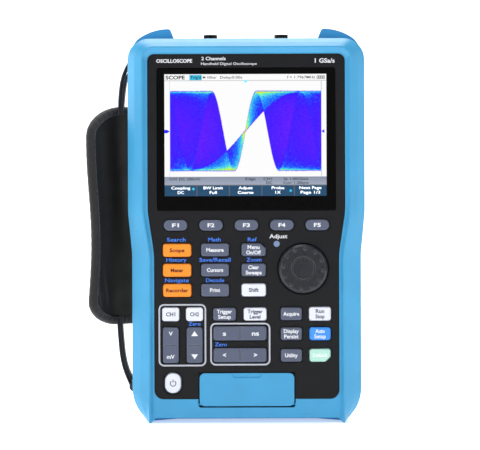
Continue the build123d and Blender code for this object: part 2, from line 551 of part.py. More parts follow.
def bnc_parts(x):
    """One isolated input socket: a shell with two bayonet lugs, and the centre contact in its insulator."""
    base, tip = COVER_TOP, BNC_TIP
    place = Pos(x, BNC_Y, 0)
    collar = place * Pos(0, 0, base + 0.9) * Cylinder(7.4, 1.8)
    lower = place * Pos(0, 0, (base - 8 + tip - 4.6) / 2) * Cylinder(4.7, tip - 4.6 - base + 8)
    upper = place * Pos(0, 0, tip - 2.3) * Cylinder(4.8, 4.6)
    lugs = place * Pos(0, 0, tip - 5.7) * Rot(90, 0, 0) * Cylinder(0.95, 11.0)
    shell = collar + lower + upper + lugs
    shell -= place * Pos(0, 0, tip - 5) * Cylinder(4.0, 12)
    shell -= place * Pos(0, 0, base - 2) * Cylinder(2.6, 14)
    insulator = place * Pos(0, 0, tip - 9) * Cylinder(3.9, 3.6)
    insulator += place * Pos(0, 0, tip - 6) * Cylinder(2.4, 6)
    contact = insulator + place * Pos(0, 0, base - 3) * Cylinder(1.0, 14)
    return shell, contact - place * Pos(0, 0, tip - 4) * Cylinder(0.7, 5)


def port_place(z):
    """Centre of an opening in the right wall."""
    return Pos(COVER_WIDE - 3.0, PORT_Y[0] + 3, z)


def usb_ports():
    """The host socket and the smaller device socket, as folded metal shells."""
    ports = []
    for z, width, height in ((176.5, 4.6, 13.0), (191.0, 3.0, 8.8)):
        shell = port_place(z) * Pos(-6, 0, 0) * Box(12, width, height)
        cavity = port_place(z) * Pos(-4, 0, 0) * Box(10, width - 0.8, height - 0.8)
        tongue = port_place(z) * Pos(-7, width * 0.12, 0) * Box(8, width * 0.2, height - 3.0)
        ports.append(shell - cavity + tongue)
    return Compound(children=ports)


def dc_jack():
    """Charging socket: a round body with its centre pin."""
    body = port_place(202.5) * Pos(-6, 0, 0) * Rot(0, 90, 0) * Cylinder(4.2, 12)
    body -= port_place(202.5) * Pos(-4, 0, 0) * Rot(0, 90, 0) * Cylinder(3.0, 10)
    return body + port_place(202.5) * Pos(-5.5, 0, 0) * Rot(0, 90, 0) * Cylinder(1.0, 9)


def side_cover():
    """Rubber flap over the side sockets, on a moulded pin along its rear edge."""
    side = COVER_WIDE
    low_y, high_y = PORT_Y
    pin_x, pin_y = side - 1.6, FLAP_AXIS_Y + 1.0
    flap = box((side - 2.2, low_y - 1.6, PORT_LOW - 2.6), (side - 0.2, high_y, PORT_TOP + 2.6))
    flap += box((side - 1.0, high_y - 0.1, PORT_LOW - 2.0), (side - 0.2, pin_y, PORT_TOP + 2.0))
    middle = (PORT_LOW + PORT_TOP) / 2
    flap += Pos(pin_x, pin_y, middle) * Cylinder(1.2, PORT_TOP - PORT_LOW + 4)
    flap += Pos(pin_x, pin_y, middle) * Cylinder(0.8, PORT_TOP - PORT_LOW + 9)
    return flap


# ---------------------------------------------------------------- controls
def rocker(name):
    """A two-way key with a groove across its middle, which tips about that middle."""
    spec = ROCKERS[name]
    x, z, width, height = spec
    cap = key_cap(spec)
    if height > width:
        return cap - box((x - width, KEY_FACE_Y - 1, z - 0.35), (x + width, KEY_FACE_Y + 0.45, z + 0.35))
    return cap - box((x - 0.35, KEY_FACE_Y - 1, z - height), (x + 0.35, KEY_FACE_Y + 0.45, z + height))


def dial():
    """Thumb dial: a disc with twelve grip nubs and a central cap in a groove."""
    front = -30.6
    disc = rod(DIAL_X, DIAL_Z, DIAL_R, front + 1.2, -25.2)
    disc += loft([
        front_plane(front + 1.2) * (Pos(DIAL_X, DIAL_Z) * Circle(DIAL_R)),
        front_plane(front) * (Pos(DIAL_X, DIAL_Z) * Circle(DIAL_R - 1.4))], ruled=True)
    disc -= rod(DIAL_X, DIAL_Z, 8.4, front - 1, front + 0.9)
    disc += rod(DIAL_X, DIAL_Z, 7.4, front + 0.1, front + 1.0)
    nub_circle = 14.0
    for i in range(12):
        turn = radians(30 * i - 6)
        place = (DIAL_X + nub_circle * cos(turn), front + 0.35, DIAL_Z + nub_circle * sin(turn))
        disc += Pos(*place) * Sphere(1.25)
    disc -= rod(DIAL_X, DIAL_Z, 3.0, -29.0, -24)
    return disc - (rod(DIAL_X, DIAL_Z, 14.6, -27.4, -24) - rod(DIAL_X, DIAL_Z, 5.0, -28, -24))


def encoder_pieces():
    """The encoder on the key board, its pushed sleeve and the shaft that turns with the dial."""
    body = box((DIAL_X - 7, -24.0, DIAL_Z - 7), (DIAL_X + 7, -20.0, DIAL_Z + 7))
    body -= rod(DIAL_X, DIAL_Z, 4.3, -25, -20.5)
    sleeve = rod(DIAL_X, DIAL_Z, 4.25, -24.8, -21.8) - rod(DIAL_X, DIAL_Z, 3.05, -26, -20)
    shaft = rod(DIAL_X, DIAL_Z, 3.0, -29.0, -21.6)
    return body, sleeve, shaft


# ---------------------------------------------------------------- hand strap
def pad_plane():
    """Plane through the middle of the pad: x runs towards the rear, y is up, z faces the casing."""
    tilt = radians(PAD_TILT)
    return Plane(origin=PAD_CENTRE, x_dir=(sin(tilt), cos(tilt), 0), z_dir=(cos(tilt), -sin(tilt), 0))


def strap_pad():
    """Padded hand strap, as a plain block that lies along the rear corner."""
    outline = pad_plane() * RectangleRounded(PAD_WIDTH, PAD_HEIGHT, 11)
    return extrude(outline, amount=PAD_THICK / 2, both=True)


def webbing(bar_z, points):
    """A doubled strip of webbing from a bar to the end of the pad, as a band of constant width."""
    band = Pos(BAR_X, bar_z) * (Circle(BAR_R + 0.1 + WEB_THICK / 2) - Circle(BAR_R + 0.05))
    line = Polyline(*points)
    band += trace(line, WEB_THICK)
    band -= Pos(BAR_X, bar_z) * Circle(BAR_R + 0.05)
    half = WEB_WIDTH / 2
    return slab(band, BAR_Y - half, BAR_Y + half)


def strap_webbing():
    """The upper and the lower length of webbing."""
    top = PAD_CENTRE[2] + PAD_HEIGHT / 2
    low = PAD_CENTRE[2] - PAD_HEIGHT / 2
    upper_bar, lower_bar = BAR_Z
    upper = webbing(upper_bar, [
        (BAR_X - 1.6, upper_bar - 1), (-84.5, upper_bar - 6), (-87.3, 238), (-88.4, 229), (-88.0, top - 1)])
    lower = webbing(lower_bar, [
        (BAR_X - 1.6, lower_bar + 1), (-83.6, lower_bar + 8), (-87.0, 45), (-88.4, 57), (-88.2, low + 1)])
    clear = box((-200, -90, low), (0, 90, top))
    return Compound(children=[upper - clear, lower - clear])


# ---------------------------------------------------------------- write every piece
PIECES = {
    "front_bezel": front_bezel, "casing_seal": casing_seal, "front_panel": front_panel,
    "terminal_door": terminal_door, "rear_cover": rear_cover, "bumper": bumper,
    "casing_screws": casing_screws, "rear_feet": rear_feet, "kickstand": kickstand,
    "battery_door": battery_door, "battery_door_screws": battery_door_screws,
    "battery_pack": battery_pack, "screen_window": screen_window, "lcd_module": lcd_module,
    "keypad_mat": keypad_mat, "keypad_board": keypad_board, "main_board": main_board,
    "usb_ports": usb_ports, "dc_jack": dc_jack, "side_cover": side_cover, "dial": dial,
    "strap_pad": strap_pad, "strap_webbing": strap_webbing,
}
for name, make in PIECES.items():
    save(name, make())

red = [meter_socket(x) for x in SOCKET_X if x != SOCKET_X[2]]
save("meter_sockets_red", Compound(children=red))
save("meter_socket_black", meter_socket(SOCKET_X[2]))

shells, contacts = zip(*(bnc_parts(x) for x in (-BNC_X, BNC_X)))
save("bnc_shells", Compound(children=list(shells)))
save("bnc_contacts", Compound(children=list(contacts)))

encoder_body, dial_plunger, encoder_shaft = encoder_pieces()
save("encoder_body", encoder_body)
save("dial_plunger", dial_plunger)
save("encoder_shaft", encoder_shaft)
save("adjust_lamp", rod(LAMP_X, LAMP_Z, LAMP_R, PANEL_Y - 0.2, MAT_Y[1]))

for name, spec in KEYS.items():
    save(name, key_cap(spec, cut=CUTS.get(name)))
for name, spec in SOFT_KEYS.items():
    save(name, key_cap(spec, radius=spec[3] / 2 - 0.1))
for name in ROCKERS:
    save(name, rocker(name))
save("key_power", key_cap(POWER_KEY, radius=5.2, face=-28.4))
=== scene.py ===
# %% [markdown]
# # A handheld oscilloscope, dressed for its portrait
# The CAD model brings every hard piece: frame, panel, keys, dial, lid, covers and sockets. This
# script adds what CAD leaves plain: moulded plastic, silicone and rubber, printed legends, the
# lit screen and a sewn hand strap. Lengths are in metres and +Z is up; the screen faces -Y.
# Each step below says what the real thing is and why it is made this way.

# %% Load the fixed frame
import json
import math

import bmesh
import bpy
import numpy as np
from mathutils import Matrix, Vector


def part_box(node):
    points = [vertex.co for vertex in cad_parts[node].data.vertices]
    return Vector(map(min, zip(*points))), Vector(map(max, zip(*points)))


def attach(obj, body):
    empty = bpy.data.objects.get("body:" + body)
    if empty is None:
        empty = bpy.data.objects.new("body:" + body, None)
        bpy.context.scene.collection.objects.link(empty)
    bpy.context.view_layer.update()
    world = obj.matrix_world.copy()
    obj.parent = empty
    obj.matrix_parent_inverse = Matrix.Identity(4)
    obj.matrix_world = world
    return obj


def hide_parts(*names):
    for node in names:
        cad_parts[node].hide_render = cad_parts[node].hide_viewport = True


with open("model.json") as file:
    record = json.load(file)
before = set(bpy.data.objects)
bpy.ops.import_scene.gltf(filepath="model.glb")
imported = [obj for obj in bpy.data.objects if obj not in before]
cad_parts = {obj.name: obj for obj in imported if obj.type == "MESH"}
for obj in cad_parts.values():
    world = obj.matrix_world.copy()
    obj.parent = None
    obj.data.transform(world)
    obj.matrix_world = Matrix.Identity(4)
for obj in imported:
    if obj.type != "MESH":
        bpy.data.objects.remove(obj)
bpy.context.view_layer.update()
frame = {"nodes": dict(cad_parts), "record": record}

MM = 0.001
nodes = frame["nodes"]

# %% [markdown]
# ## Camera
# The portrait is taken straight on with a long lens, level with the middle of the casing, so
# nothing leans or tapers. The field is set from the width that the view covers at the panel's
# depth, and a hair of roll lets the instrument stand as it does on its feet.

# %% The camera
PANEL_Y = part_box("front_panel")[0].y
FIELD_WIDTH = 0.3346
CAMERA_PLACE = Vector((-0.0045, -2.10, 0.1379))
CAMERA_ROLL = math.radians(0.19)


def make_camera():
    """A long lens on a level line of sight along +Y."""
    data = bpy.data.cameras.new("portrait_camera")
    data.sensor_width = 36.0
    data.lens = data.sensor_width * (PANEL_Y - CAMERA_PLACE.y) / FIELD_WIDTH
    data.clip_end = 30.0
    camera = bpy.data.objects.new("portrait_camera", data)
    camera.location = CAMERA_PLACE
    camera.rotation_euler = (math.radians(90), 0.0, 0.0)
    camera.rotation_euler.rotate_axis("Z", -CAMERA_ROLL)
    bpy.context.scene.collection.objects.link(camera)
    bpy.context.scene.camera = camera
    return camera


camera = make_camera()
print("lens:", round(camera.data.lens, 1), "mm")

# %% [markdown]
# ## Light and room
# A dark panel in a bright room wants light from above and from both sides, and little from behind
# the camera, or its glass turns grey. Two boxes stand a little behind the instrument's shoulders:
# their light glances off the sloping rim, which is what makes the rim read as a slope. The paper
# floor runs up into the back wall in one sweep and glows a little, as a lit backdrop does.

# %% Floor, world and soft boxes
def tone(red, green, blue):
    """A colour given as 0 to 255 display values, as the linear value that shaders take."""
    linear = [((v / 255 + 0.055) / 1.055) ** 2.4 if v > 10 else v / 255 / 12.92 for v in (red, green, blue)]
    return (*linear, 1.0)


def link_mesh(name, mesh):
    """An object at the origin that holds a mesh."""
    piece = bpy.data.objects.new(name, mesh)
    bpy.context.scene.collection.objects.link(piece)
    return piece


def grid_quads(rows, columns, close_rows=False, close_columns=False):
    """Corner numbers of the quads of a grid of points stored row by row, closed on itself if asked."""
    r = np.arange(rows if close_rows else rows - 1)
    c = np.arange(columns if close_columns else columns - 1)
    r, c = np.meshgrid(r, c, indexing="ij")
    r2, c2 = (r + 1) % rows, (c + 1) % columns
    quads = np.stack([r * columns + c, r * columns + c2, r2 * columns + c2, r2 * columns + c], axis=-1)
    return quads.reshape(-1, 4)


def face_mesh(name, points, corners, sizes, smooth=False):
    """A mesh from whole arrays: points, corner numbers face after face, and each face's corner count."""
    mesh = bpy.data.meshes.new(name)
    mesh.vertices.add(len(points))
    mesh.vertices.foreach_set("co", np.asarray(points, np.float32).ravel())
    mesh.loops.add(len(corners))
    mesh.loops.foreach_set("vertex_index", np.asarray(corners, np.int32))
    mesh.polygons.add(len(sizes))
    mesh.polygons.foreach_set("loop_start", (np.cumsum(sizes) - sizes).astype(np.int32))
    mesh.polygons.foreach_set("use_smooth", np.full(len(sizes), smooth))
    mesh.update(calc_edges=True)
    mesh.validate()
    return mesh


def quad_mesh(name, points, quads, smooth=True):
    """A mesh of quads alone."""
    return face_mesh(name, points, np.asarray(quads).ravel(), np.full(len(quads), 4), smooth)


SWEEP, REACH = 0.9, 4.0


def sweep_floor():
    """Floor and back wall: flat for y below SWEEP, then a quarter circle of that radius, then upright."""
    turn = np.linspace(0, math.pi / 2, 25)
    y = np.concatenate([[-REACH, SWEEP], SWEEP + SWEEP * np.sin(turn[1:]), [2 * SWEEP]])
    z = np.concatenate([[0.0, 0.0], SWEEP - SWEEP * np.cos(turn[1:]), [REACH]])
    x = np.array([-REACH, REACH])
    points = np.array([(a, b, c) for b, c in zip(y, z) for a in x])
    return link_mesh("floor_sweep", quad_mesh("floor_sweep", points, grid_quads(len(y), 2)))


def soft_box(name, place, aim, size, power):
    """A square soft box that looks at a point."""
    light = bpy.data.lights.new(name, "AREA")
    light.size = size
    light.energy = power
    lamp = bpy.data.objects.new(name, light)
    lamp.location = place
    lamp.rotation_euler = (Vector(aim) - Vector(place)).to_track_quat("-Z", "Y").to_euler()
    bpy.context.scene.collection.objects.link(lamp)
    return lamp


def make_world():
    """White to the camera, a quiet grey to everything else."""
    world = bpy.data.worlds.new("studio")
    bpy.context.scene.world = world
    world.use_nodes = True
    tree = world.node_tree
    tree.nodes.clear()
    out = tree.nodes.new("ShaderNodeOutputWorld")
    mix = tree.nodes.new("ShaderNodeMixShader")
    path = tree.nodes.new("ShaderNodeLightPath")
    seen, lit = tree.nodes.new("ShaderNodeBackground"), tree.nodes.new("ShaderNodeBackground")
    seen.inputs["Color"].default_value = (1.0, 1.0, 1.0, 1.0)
    lit.inputs["Color"].default_value = (1.0, 1.0, 1.0, 1.0)
    lit.inputs["Strength"].default_value = 0.16
    tree.links.new(path.outputs["Is Camera Ray"], mix.inputs["Fac"])
    tree.links.new(lit.outputs[0], mix.inputs[1])
    tree.links.new(seen.outputs[0], mix.inputs[2])
    tree.links.new(mix.outputs[0], out.inputs["Surface"])


make_world()
MIDDLE = (0.0, 0.0, 0.14)
soft_box("top_box", (-0.10, 0.25, 1.30), MIDDLE, 1.0, 13.0)
soft_box("front_left_box", (-1.15, -1.15, 0.85), MIDDLE, 0.9, 13.0)
soft_box("front_right_box", (1.20, -1.05, 0.70), MIDDLE, 0.9, 8.0)
soft_box("left_shoulder_box", (-1.20, 0.42, 0.35), MIDDLE, 0.8, 9.0)
soft_box("right_shoulder_box", (1.25, 0.45, 0.40), MIDDLE, 0.8, 3.0)
soft_box("back_box", (0.35, 1.30, 1.0), MIDDLE, 0.9, 5.0)
floor = sweep_floor()
bpy.context.scene.view_settings.view_transform = "Standard"

# %% [markdown]
# ## Shader building blocks
# Moulded parts look moulded because of three small things: a fine spark-eroded grain, a slow
# drift of tone and gloss, and edges that are never quite sharp. A few helpers add those to any
# material; the Bevel node rounds the shading of CAD edges without touching their meshes.

# %% Helpers for node materials
class Finish:
    """A material being built: its node tree, its main shader and the object coordinates."""

    def __init__(self, name, colour, roughness, **sockets):
        self.material = bpy.data.materials.new(name)
        self.material.use_nodes = True
        self.tree = self.material.node_tree
        self.shader = self.tree.nodes["Principled BSDF"]
        self.coords = self.tree.nodes.new("ShaderNodeTexCoord").outputs["Object"]
        self.shader.inputs["Base Color"].default_value = colour
        self.shader.inputs["Roughness"].default_value = roughness
        for socket, value in sockets.items():
            self.shader.inputs[socket.replace("_", " ")].default_value = value
        self.material.diffuse_color = colour

    def node(self, kind, **values):
        """A new node with some of its settings or sockets filled in."""
        node = self.tree.nodes.new(kind)
        for key, value in values.items():
            if hasattr(node, key):
                setattr(node, key, value)
            else:
                node.inputs[key.replace("_", " ").title()].default_value = value
        return node

    def link(self, a, b):
        self.tree.links.new(a, b)

    def noise(self, scale, detail=3.0, stretch=None):
        """Noise of a given scale per metre, on object coordinates."""
        node = self.node("ShaderNodeTexNoise", scale=scale, detail=detail)
        source = self.coords
        if stretch:
            mapping = self.node("ShaderNodeMapping")
            mapping.inputs["Scale"].default_value = stretch
            self.link(source, mapping.inputs["Vector"])
            source = mapping.outputs["Vector"]
        self.link(source, node.inputs["Vector"])
        return node.outputs["Fac"]

    def spread(self, value, low, high, start=0.3, end=0.7):
        """A value from start..end carried to low..high."""
        node = self.node("ShaderNodeMapRange")
        for socket, number in (("From Min", start), ("From Max", end), ("To Min", low), ("To Max", high)):
            node.inputs[socket].default_value = number
        self.link(value, node.inputs["Value"])
        return node.outputs["Result"]

    def mixed(self, factor, first, second):
        """A colour between two colours or colour sockets."""
        node = self.node("ShaderNodeMix", data_type="RGBA")
        self.link(factor, node.inputs[0])
        for socket, value in ((node.inputs[6], first), (node.inputs[7], second)):
            if isinstance(value, tuple):
                socket.default_value = value
            else:
                self.link(value, socket)
        return node.outputs[2]

    def paint(self, colour):
        self.link(colour, self.shader.inputs["Base Color"])
        return self

    def drift(self, colour, amount, scale=45.0):
        """Slow change of tone: the colour a little darker and a little lighter."""
        dark = tuple(c * (1 - amount) for c in colour[:3]) + (1.0,)
        light = tuple(min(1.0, c * (1 + amount)) for c in colour[:3]) + (1.0,)
        return self.mixed(self.spread(self.noise(scale, 2.0), 0.0, 1.0), dark, light)

    def painted_edge_highlight(self, base, colour, lift, reach=0.0006):
        """Painted edge highlight: base mixed to a lifted colour where rounding turns the normal away."""
        bevel = self.node("ShaderNodeBevel", samples=4)
        bevel.inputs["Radius"].default_value = reach
        shape = self.node("ShaderNodeNewGeometry")
        turned = self.node("ShaderNodeVectorMath", operation="DOT_PRODUCT")
        self.link(bevel.outputs["Normal"], turned.inputs[0])
        self.link(shape.outputs["Normal"], turned.inputs[1])
        light = tuple(min(1.0, c + lift * (1 - c)) for c in colour[:3]) + (1.0,)
        return self.mixed(self.spread(turned.outputs["Value"], 1.0, 0.0, 0.80, 0.995), base, light)

    def gloss(self, roughness, amount, scale=120.0):
        """Roughness that wanders a little."""
        value = self.spread(self.noise(scale, 4.0), roughness - amount, roughness + amount)
        self.link(value, self.shader.inputs["Roughness"])
        return self

    def relief(self, height, depth, edge=0.0, strength=1.0):
        """Bump of a given depth in metres, over CAD edges rounded by a radius in metres."""
        bump = self.node("ShaderNodeBump")
        bump.inputs["Strength"].default_value = strength
        bump.inputs["Distance"].default_value = depth
        self.link(height, bump.inputs["Height"])
        if edge:
            bevel = self.node("ShaderNodeBevel", samples=4)
            bevel.inputs["Radius"].default_value = edge
            self.link(bevel.outputs["Normal"], bump.inputs["Normal"])
        self.link(bump.outputs["Normal"], self.shader.inputs["Normal"])
        return self


def moulded(name, colour, roughness, grain, depth, amount=0.05, edge=0.0004, wear_and_edge_highlight=0.0, **sockets):
    """Moulded plastic or rubber: grain (per metre) of some depth, drifting tone and gloss, soft edges, and on request a
    painted highlight on the edges.
    """
    made = Finish(name, colour, roughness, **sockets)
    made.paint(made.painted_edge_highlight(made.drift(colour, amount), colour, wear_and_edge_highlight) if wear_and_edge_highlight else made.drift(colour, amount))
    made.gloss(roughness, 0.05)
    made.relief(made.noise(grain, 2.0), depth, edge)
    return made.material


# %% [markdown]
# ## Finishes of the hard pieces
# The frame and lid are blue soft-touch mouldings with a fine grain; the guard behind them is the
# same blue in rubber, with a deeper tone that is painted shade for its place behind the rim. The
# panel is black with a satin grain, the covers have a coarser grain, and the keys are caps with a
# dry, even sheen; the grey keys and the dial get a painted highlight that lightens their edges.

# %% Materials for the CAD pieces
BLUE = tone(58, 158, 208)
# The guard's blue is darker than the frame's: the rubber is real, the deeper tone is painted shade for its place behind
# the rim.
SHADED_GUARD_BLUE = tone(46, 144, 202)
finishes = {
    "blue_frame": moulded("blue_frame", BLUE, 0.40, 2600, 0.00003, 0.04, 0.0007, Coat_Weight=0.35,
                          Coat_Roughness=0.34),
    "blue_guard": moulded("blue_guard", SHADED_GUARD_BLUE, 0.55, 2200, 0.00004, 0.05, 0.0007),
    "black_panel": moulded("black_panel", tone(8, 9, 14), 0.50, 3200, 0.00003, 0.06, 0.0003,
                           Specular_IOR_Level=0.3),
    "dark_cover": moulded("dark_cover", tone(50, 52, 58), 0.58, 1700, 0.00006, 0.07, 0.0005),
    "seal_rubber": moulded("seal_rubber", tone(34, 34, 37), 0.66, 1500, 0.00004, 0.08, 0.0004),
    "pack_wrap": moulded("pack_wrap", tone(40, 52, 70), 0.35, 500, 0.00002),
    "display_frame": moulded("display_frame", tone(120, 122, 126), 0.40, 900, 0.00002, Metallic=0.9),
    "key_silicone": moulded("key_silicone", tone(30, 30, 34), 0.60, 1200, 0.00002),
    "circuit_board": moulded("circuit_board", tone(18, 92, 50), 0.38, 700, 0.00003),
    "black_socket": moulded("black_socket", tone(26, 26, 28), 0.36, 2000, 0.00001),
    "red_socket": moulded("red_socket", tone(190, 24, 28), 0.36, 2000, 0.00001),
    # The last number given to the dial and the grey keys is a painted highlight that lightens their edges.
    "dial_grey": moulded("dial_grey", tone(28, 30, 38), 0.28, 2600, 0.00002, 0.05, 0.0006, 0.16),
    "insulator": moulded("insulator", tone(226, 224, 214), 0.40, 1500, 0.00001),
    "lamp_lens": moulded("lamp_lens", tone(122, 142, 178), 0.25, 900, 0.00001, Coat_Weight=0.5),
    "key_grey": moulded("key_grey", tone(84, 92, 114), 0.44, 3000, 0.00002, 0.04, 0.0005, 0.12),
    "key_orange": moulded("key_orange", tone(255, 146, 34), 0.46, 3000, 0.00002, 0.03, 0.0004),
    "key_white": moulded("key_white", tone(226, 230, 244), 0.46, 3000, 0.00002, 0.02, 0.0004),
    "key_blue": moulded("key_blue", tone(58, 146, 240), 0.46, 3000, 0.00002, 0.03, 0.0004),
    "key_mint": moulded("key_mint", tone(180, 228, 212), 0.46, 3000, 0.00002, 0.03, 0.0004),
}


def brushed(name, colour, roughness):
    """Plated or brushed metal with fine lines across it."""
    made = Finish(name, colour, roughness, Metallic=1.0)
    made.paint(made.drift(colour, 0.08, 220.0))
    made.gloss(roughness, 0.08, 500.0)
    made.relief(made.noise(1400, 3.0, (1.0, 1.0, 6.0)), 0.00001)
    return made.material


def dark_glass():
    """Screen window: black, with a thin clear coat, faint dust in its gloss and a ground edge."""
    made = Finish("dark_glass", tone(1, 1, 2), 0.10, Coat_Weight=0.12, Coat_Roughness=0.03, Specular_IOR_Level=0.3)
    made.paint(made.drift(tone(1, 1, 2), 0.15, 20.0))
    made.gloss(0.09, 0.03, 300.0)
    made.relief(made.noise(60, 2.0), 0.000004, 0.0005)
    return made.material


finishes["steel"] = brushed("steel", tone(188, 188, 190), 0.32)
finishes["nickel"] = brushed("nickel", tone(30, 29, 29), 0.45)
finishes["window_glass"] = dark_glass()

# %% [markdown]
# Cloth is seen by its threads. The binding tape has ribs across it, the webbing is a flat plain
# weave, and both patterns follow the strip round its bends: each strip carries an attribute with
# the distance along it and across it, in millimetres, and the material reads that. The pad's face
# is a smooth knit over foam, with a soft sheen at grazing angles.

# %% Fabric finishes
def ribbed(name, colour, pitch, depth, across=None):
    """Tape or webbing: ribs of a pitch in mm along the strip, and if asked a second set across it."""
    made = Finish(name, colour, 0.78, Sheen_Weight=0.25, Sheen_Roughness=0.5)
    strip = made.node("ShaderNodeAttribute", attribute_name="strip").outputs["Vector"]
    wave_of_unit = 0.314  # a wave texture of this scale repeats once per unit
    height = None
    for direction, step in (("X", pitch), ("Y", across)):
        if step is None:
            continue
        wave = made.node("ShaderNodeTexWave", wave_type="BANDS", bands_direction=direction,
                         scale=wave_of_unit / step, distortion=1.2, detail=2.0)
        wave.inputs["Detail Scale"].default_value = 1.5
        made.link(strip, wave.inputs["Vector"])
        if height is None:
            height = wave.outputs["Fac"]
        else:
            both = made.node("ShaderNodeMath", operation="MULTIPLY")
            made.link(height, both.inputs[0])
            made.link(wave.outputs["Fac"], both.inputs[1])
            height = both.outputs["Value"]
    dark = tuple(c * 0.62 for c in colour[:3]) + (1.0,)
    light = tuple(min(1.0, c * 1.25) for c in colour[:3]) + (1.0,)
    threads = made.mixed(made.spread(height, 0.0, 1.0, 0.1, 0.9), dark, light)
    wear_and_edge_highlight = made.mixed(made.spread(made.noise(90, 4.0), 0.0, 0.55), threads, made.drift(light, 0.1, 300.0))
    made.paint(wear_and_edge_highlight)
    made.gloss(0.78, 0.08, 700.0)
    made.relief(height, depth)
    return made.material


def knit(name, colour):
    """Smooth knit over foam: a very fine pattern of loops, lint specks and slow changes of tone."""
    made = Finish(name, colour, 0.56, Sheen_Weight=0.12, Sheen_Roughness=0.4)
    specks = made.spread(made.noise(900, 2.0), 0.0, 0.5, 0.72, 0.80)
    made.paint(made.mixed(specks, made.drift(colour, 0.18, 30.0), tone(52, 53, 56)))
    made.gloss(0.56, 0.08, 60.0)
    made.relief(made.noise(2400, 3.0), 0.00005)
    return made.material


finishes["strap_fabric"] = knit("pad_knit", tone(3, 3, 4))
finishes["strap_webbing"] = ribbed("webbing_weave", tone(24, 25, 34), 1.6, 0.00012, across=1.1)
binding_finish = ribbed("binding_tape", tone(20, 19, 20), 1.1, 0.00010)
thread_finish = moulded("thread", tone(72, 68, 68), 0.7, 2500, 0.00003)

for part in frame["record"]["subparts"]:
    mesh = nodes[part["node"]].data
    mesh.materials.clear()
    mesh.materials.append(finishes[part["material_slot"]])


def paper():
    """Backdrop paper, lit through from behind so that it stays near white."""
    made = Finish("floor_paper", tone(246, 246, 246), 0.6)
    made.paint(made.drift(tone(246, 246, 246), 0.004, 3.0))
    made.gloss(0.6, 0.03, 40.0)
    made.shader.inputs["Emission Color"].default_value = (1.0, 1.0, 1.0, 1.0)
    made.shader.inputs["Emission Strength"].default_value = 0.45
    return made.material


floor.data.materials.append(paper())
print("finishes:", len(finishes))

# %% [markdown]
# ## Small flat marks
# Legends are pad-printed: a film of ink six hundredths of a millimetre thick. Each mark here is a
# thin closed solid that stands just proud of its surface. Words start as text, turned to mesh and
# stretched to their printed width; frames, rings and arrows are outlines given a thickness.

# %% Helpers for marks
INK = 0.00006
INK_RISE = 0.00002


def words(text, width, cap, weight=0.03):
    """Lettering as a thin solid (right, up, out), centred on its cap height and as wide as asked."""
    curve = bpy.data.curves.new("words", "FONT")
    curve.body = text
    curve.offset, curve.extrude, curve.resolution_u = weight, INK / 2, 3
    block = bpy.data.objects.new("words", curve)
    mesh = bpy.data.meshes.new_from_object(block)
    points = np.empty(3 * len(mesh.vertices), np.float32)
    mesh.vertices.foreach_get("co", points)
    corners = np.empty(len(mesh.loops), np.int32)
    mesh.loops.foreach_get("vertex_index", corners)
    sizes = np.empty(len(mesh.polygons), np.int32)
    mesh.polygons.foreach_get("loop_total", sizes)
    bpy.data.objects.remove(block)
    bpy.data.curves.remove(curve)
    bpy.data.meshes.remove(mesh)
    points = points.reshape(-1, 3)
    if width:
        points[:, 0] = ((points[:, 0] - points[:, 0].min()) / np.ptp(points[:, 0]) - 0.5) * width
        points[:, 1] = (points[:, 1] / CAP_OF_FONT - 0.5) * cap
    return points, corners, sizes


CAP_OF_FONT = float(words("H", 0, 0, 0.0)[0][:, 1].max())


def prism(outline):
    """A flat outline (right, up), anticlockwise, given the thickness of ink."""
    count = len(outline)
    points = np.concatenate([np.column_stack([outline, np.full(count, side * INK / 2)]) for side in (-1, 1)])
    ring = np.arange(count)
    walls = np.column_stack([ring, (ring + 1) % count, (ring + 1) % count + count, ring + count])
    corners = np.concatenate([ring[::-1], ring + count, walls.ravel()])
    return points, corners, np.array([count, count] + [4] * count)


def ring(outer, inner):
    """A flat closed band between two outlines with equal numbers of points, as thick as ink."""
    count = len(outer)
    loops = [np.column_stack([line, np.full(count, level)])
             for line, level in ((outer, -INK / 2), (outer, INK / 2), (inner, INK / 2), (inner, -INK / 2))]
    quads = grid_quads(4, count, close_rows=True, close_columns=True)[:, ::-1]
    return np.concatenate(loops), quads.ravel(), np.full(len(quads), 4)


def rounded(width, height, radius, steps=7):
    """Rounded rectangle about the origin, anticlockwise from its lower right corner."""
    turn = np.linspace(0, math.pi / 2, steps)
    corners = []
    for k, (a, b) in enumerate(((1, -1), (1, 1), (-1, 1), (-1, -1))):
        angle = turn + (k - 1) * math.pi / 2
        corners.append(np.column_stack([a * (width / 2 - radius) + radius * np.cos(angle),
                                        b * (height / 2 - radius) + radius * np.sin(angle)]))
    return np.concatenate(corners)


def arrow(width, height):
    """A triangle: pointing up for a positive height and down for a negative one."""
    tip = [(-width / 2, -height / 2), (width / 2, -height / 2), (0, height / 2)]
    return np.array(tip if height > 0 else tip[::-1])


def marks(name, placed, finish, body):
    """One piece out of many marks: each is (solid, x, z) on the surface whose depth is given last."""
    offsets = np.cumsum([0] + [len(solid[0]) for solid, *_ in placed[:-1]])
    points = np.concatenate([np.column_stack([s[0][:, 0] + x, y - INK_RISE - s[0][:, 2], s[0][:, 1] + z])
                             for s, x, z, y in placed])
    corners = np.concatenate([s[1] + start for (s, *_), start in zip(placed, offsets)])
    sizes = np.concatenate([s[2] for s, *_ in placed])
    mesh = face_mesh(name, points, corners, sizes)
    weld(mesh, 0.0000005)
    mesh.materials.append(finish)
    piece = link_mesh(name, mesh)
    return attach(piece, body)


def weld(mesh, distance, turn_out=False):
    """Points closer than a distance become one; on request all faces are turned outwards."""
    work = bmesh.new()
    work.from_mesh(mesh)
    bmesh.ops.remove_doubles(work, verts=work.verts, dist=distance)
    if turn_out:
        bmesh.ops.recalc_face_normals(work, faces=work.faces)
    work.to_mesh(mesh)
    work.free()
    mesh.update()


def ink(name, red, green, blue):
    """Printing ink: a slightly uneven film with a dry surface."""
    return moulded(name, tone(red, green, blue), 0.55, 1800, 0.00001, 0.04, 0.0)


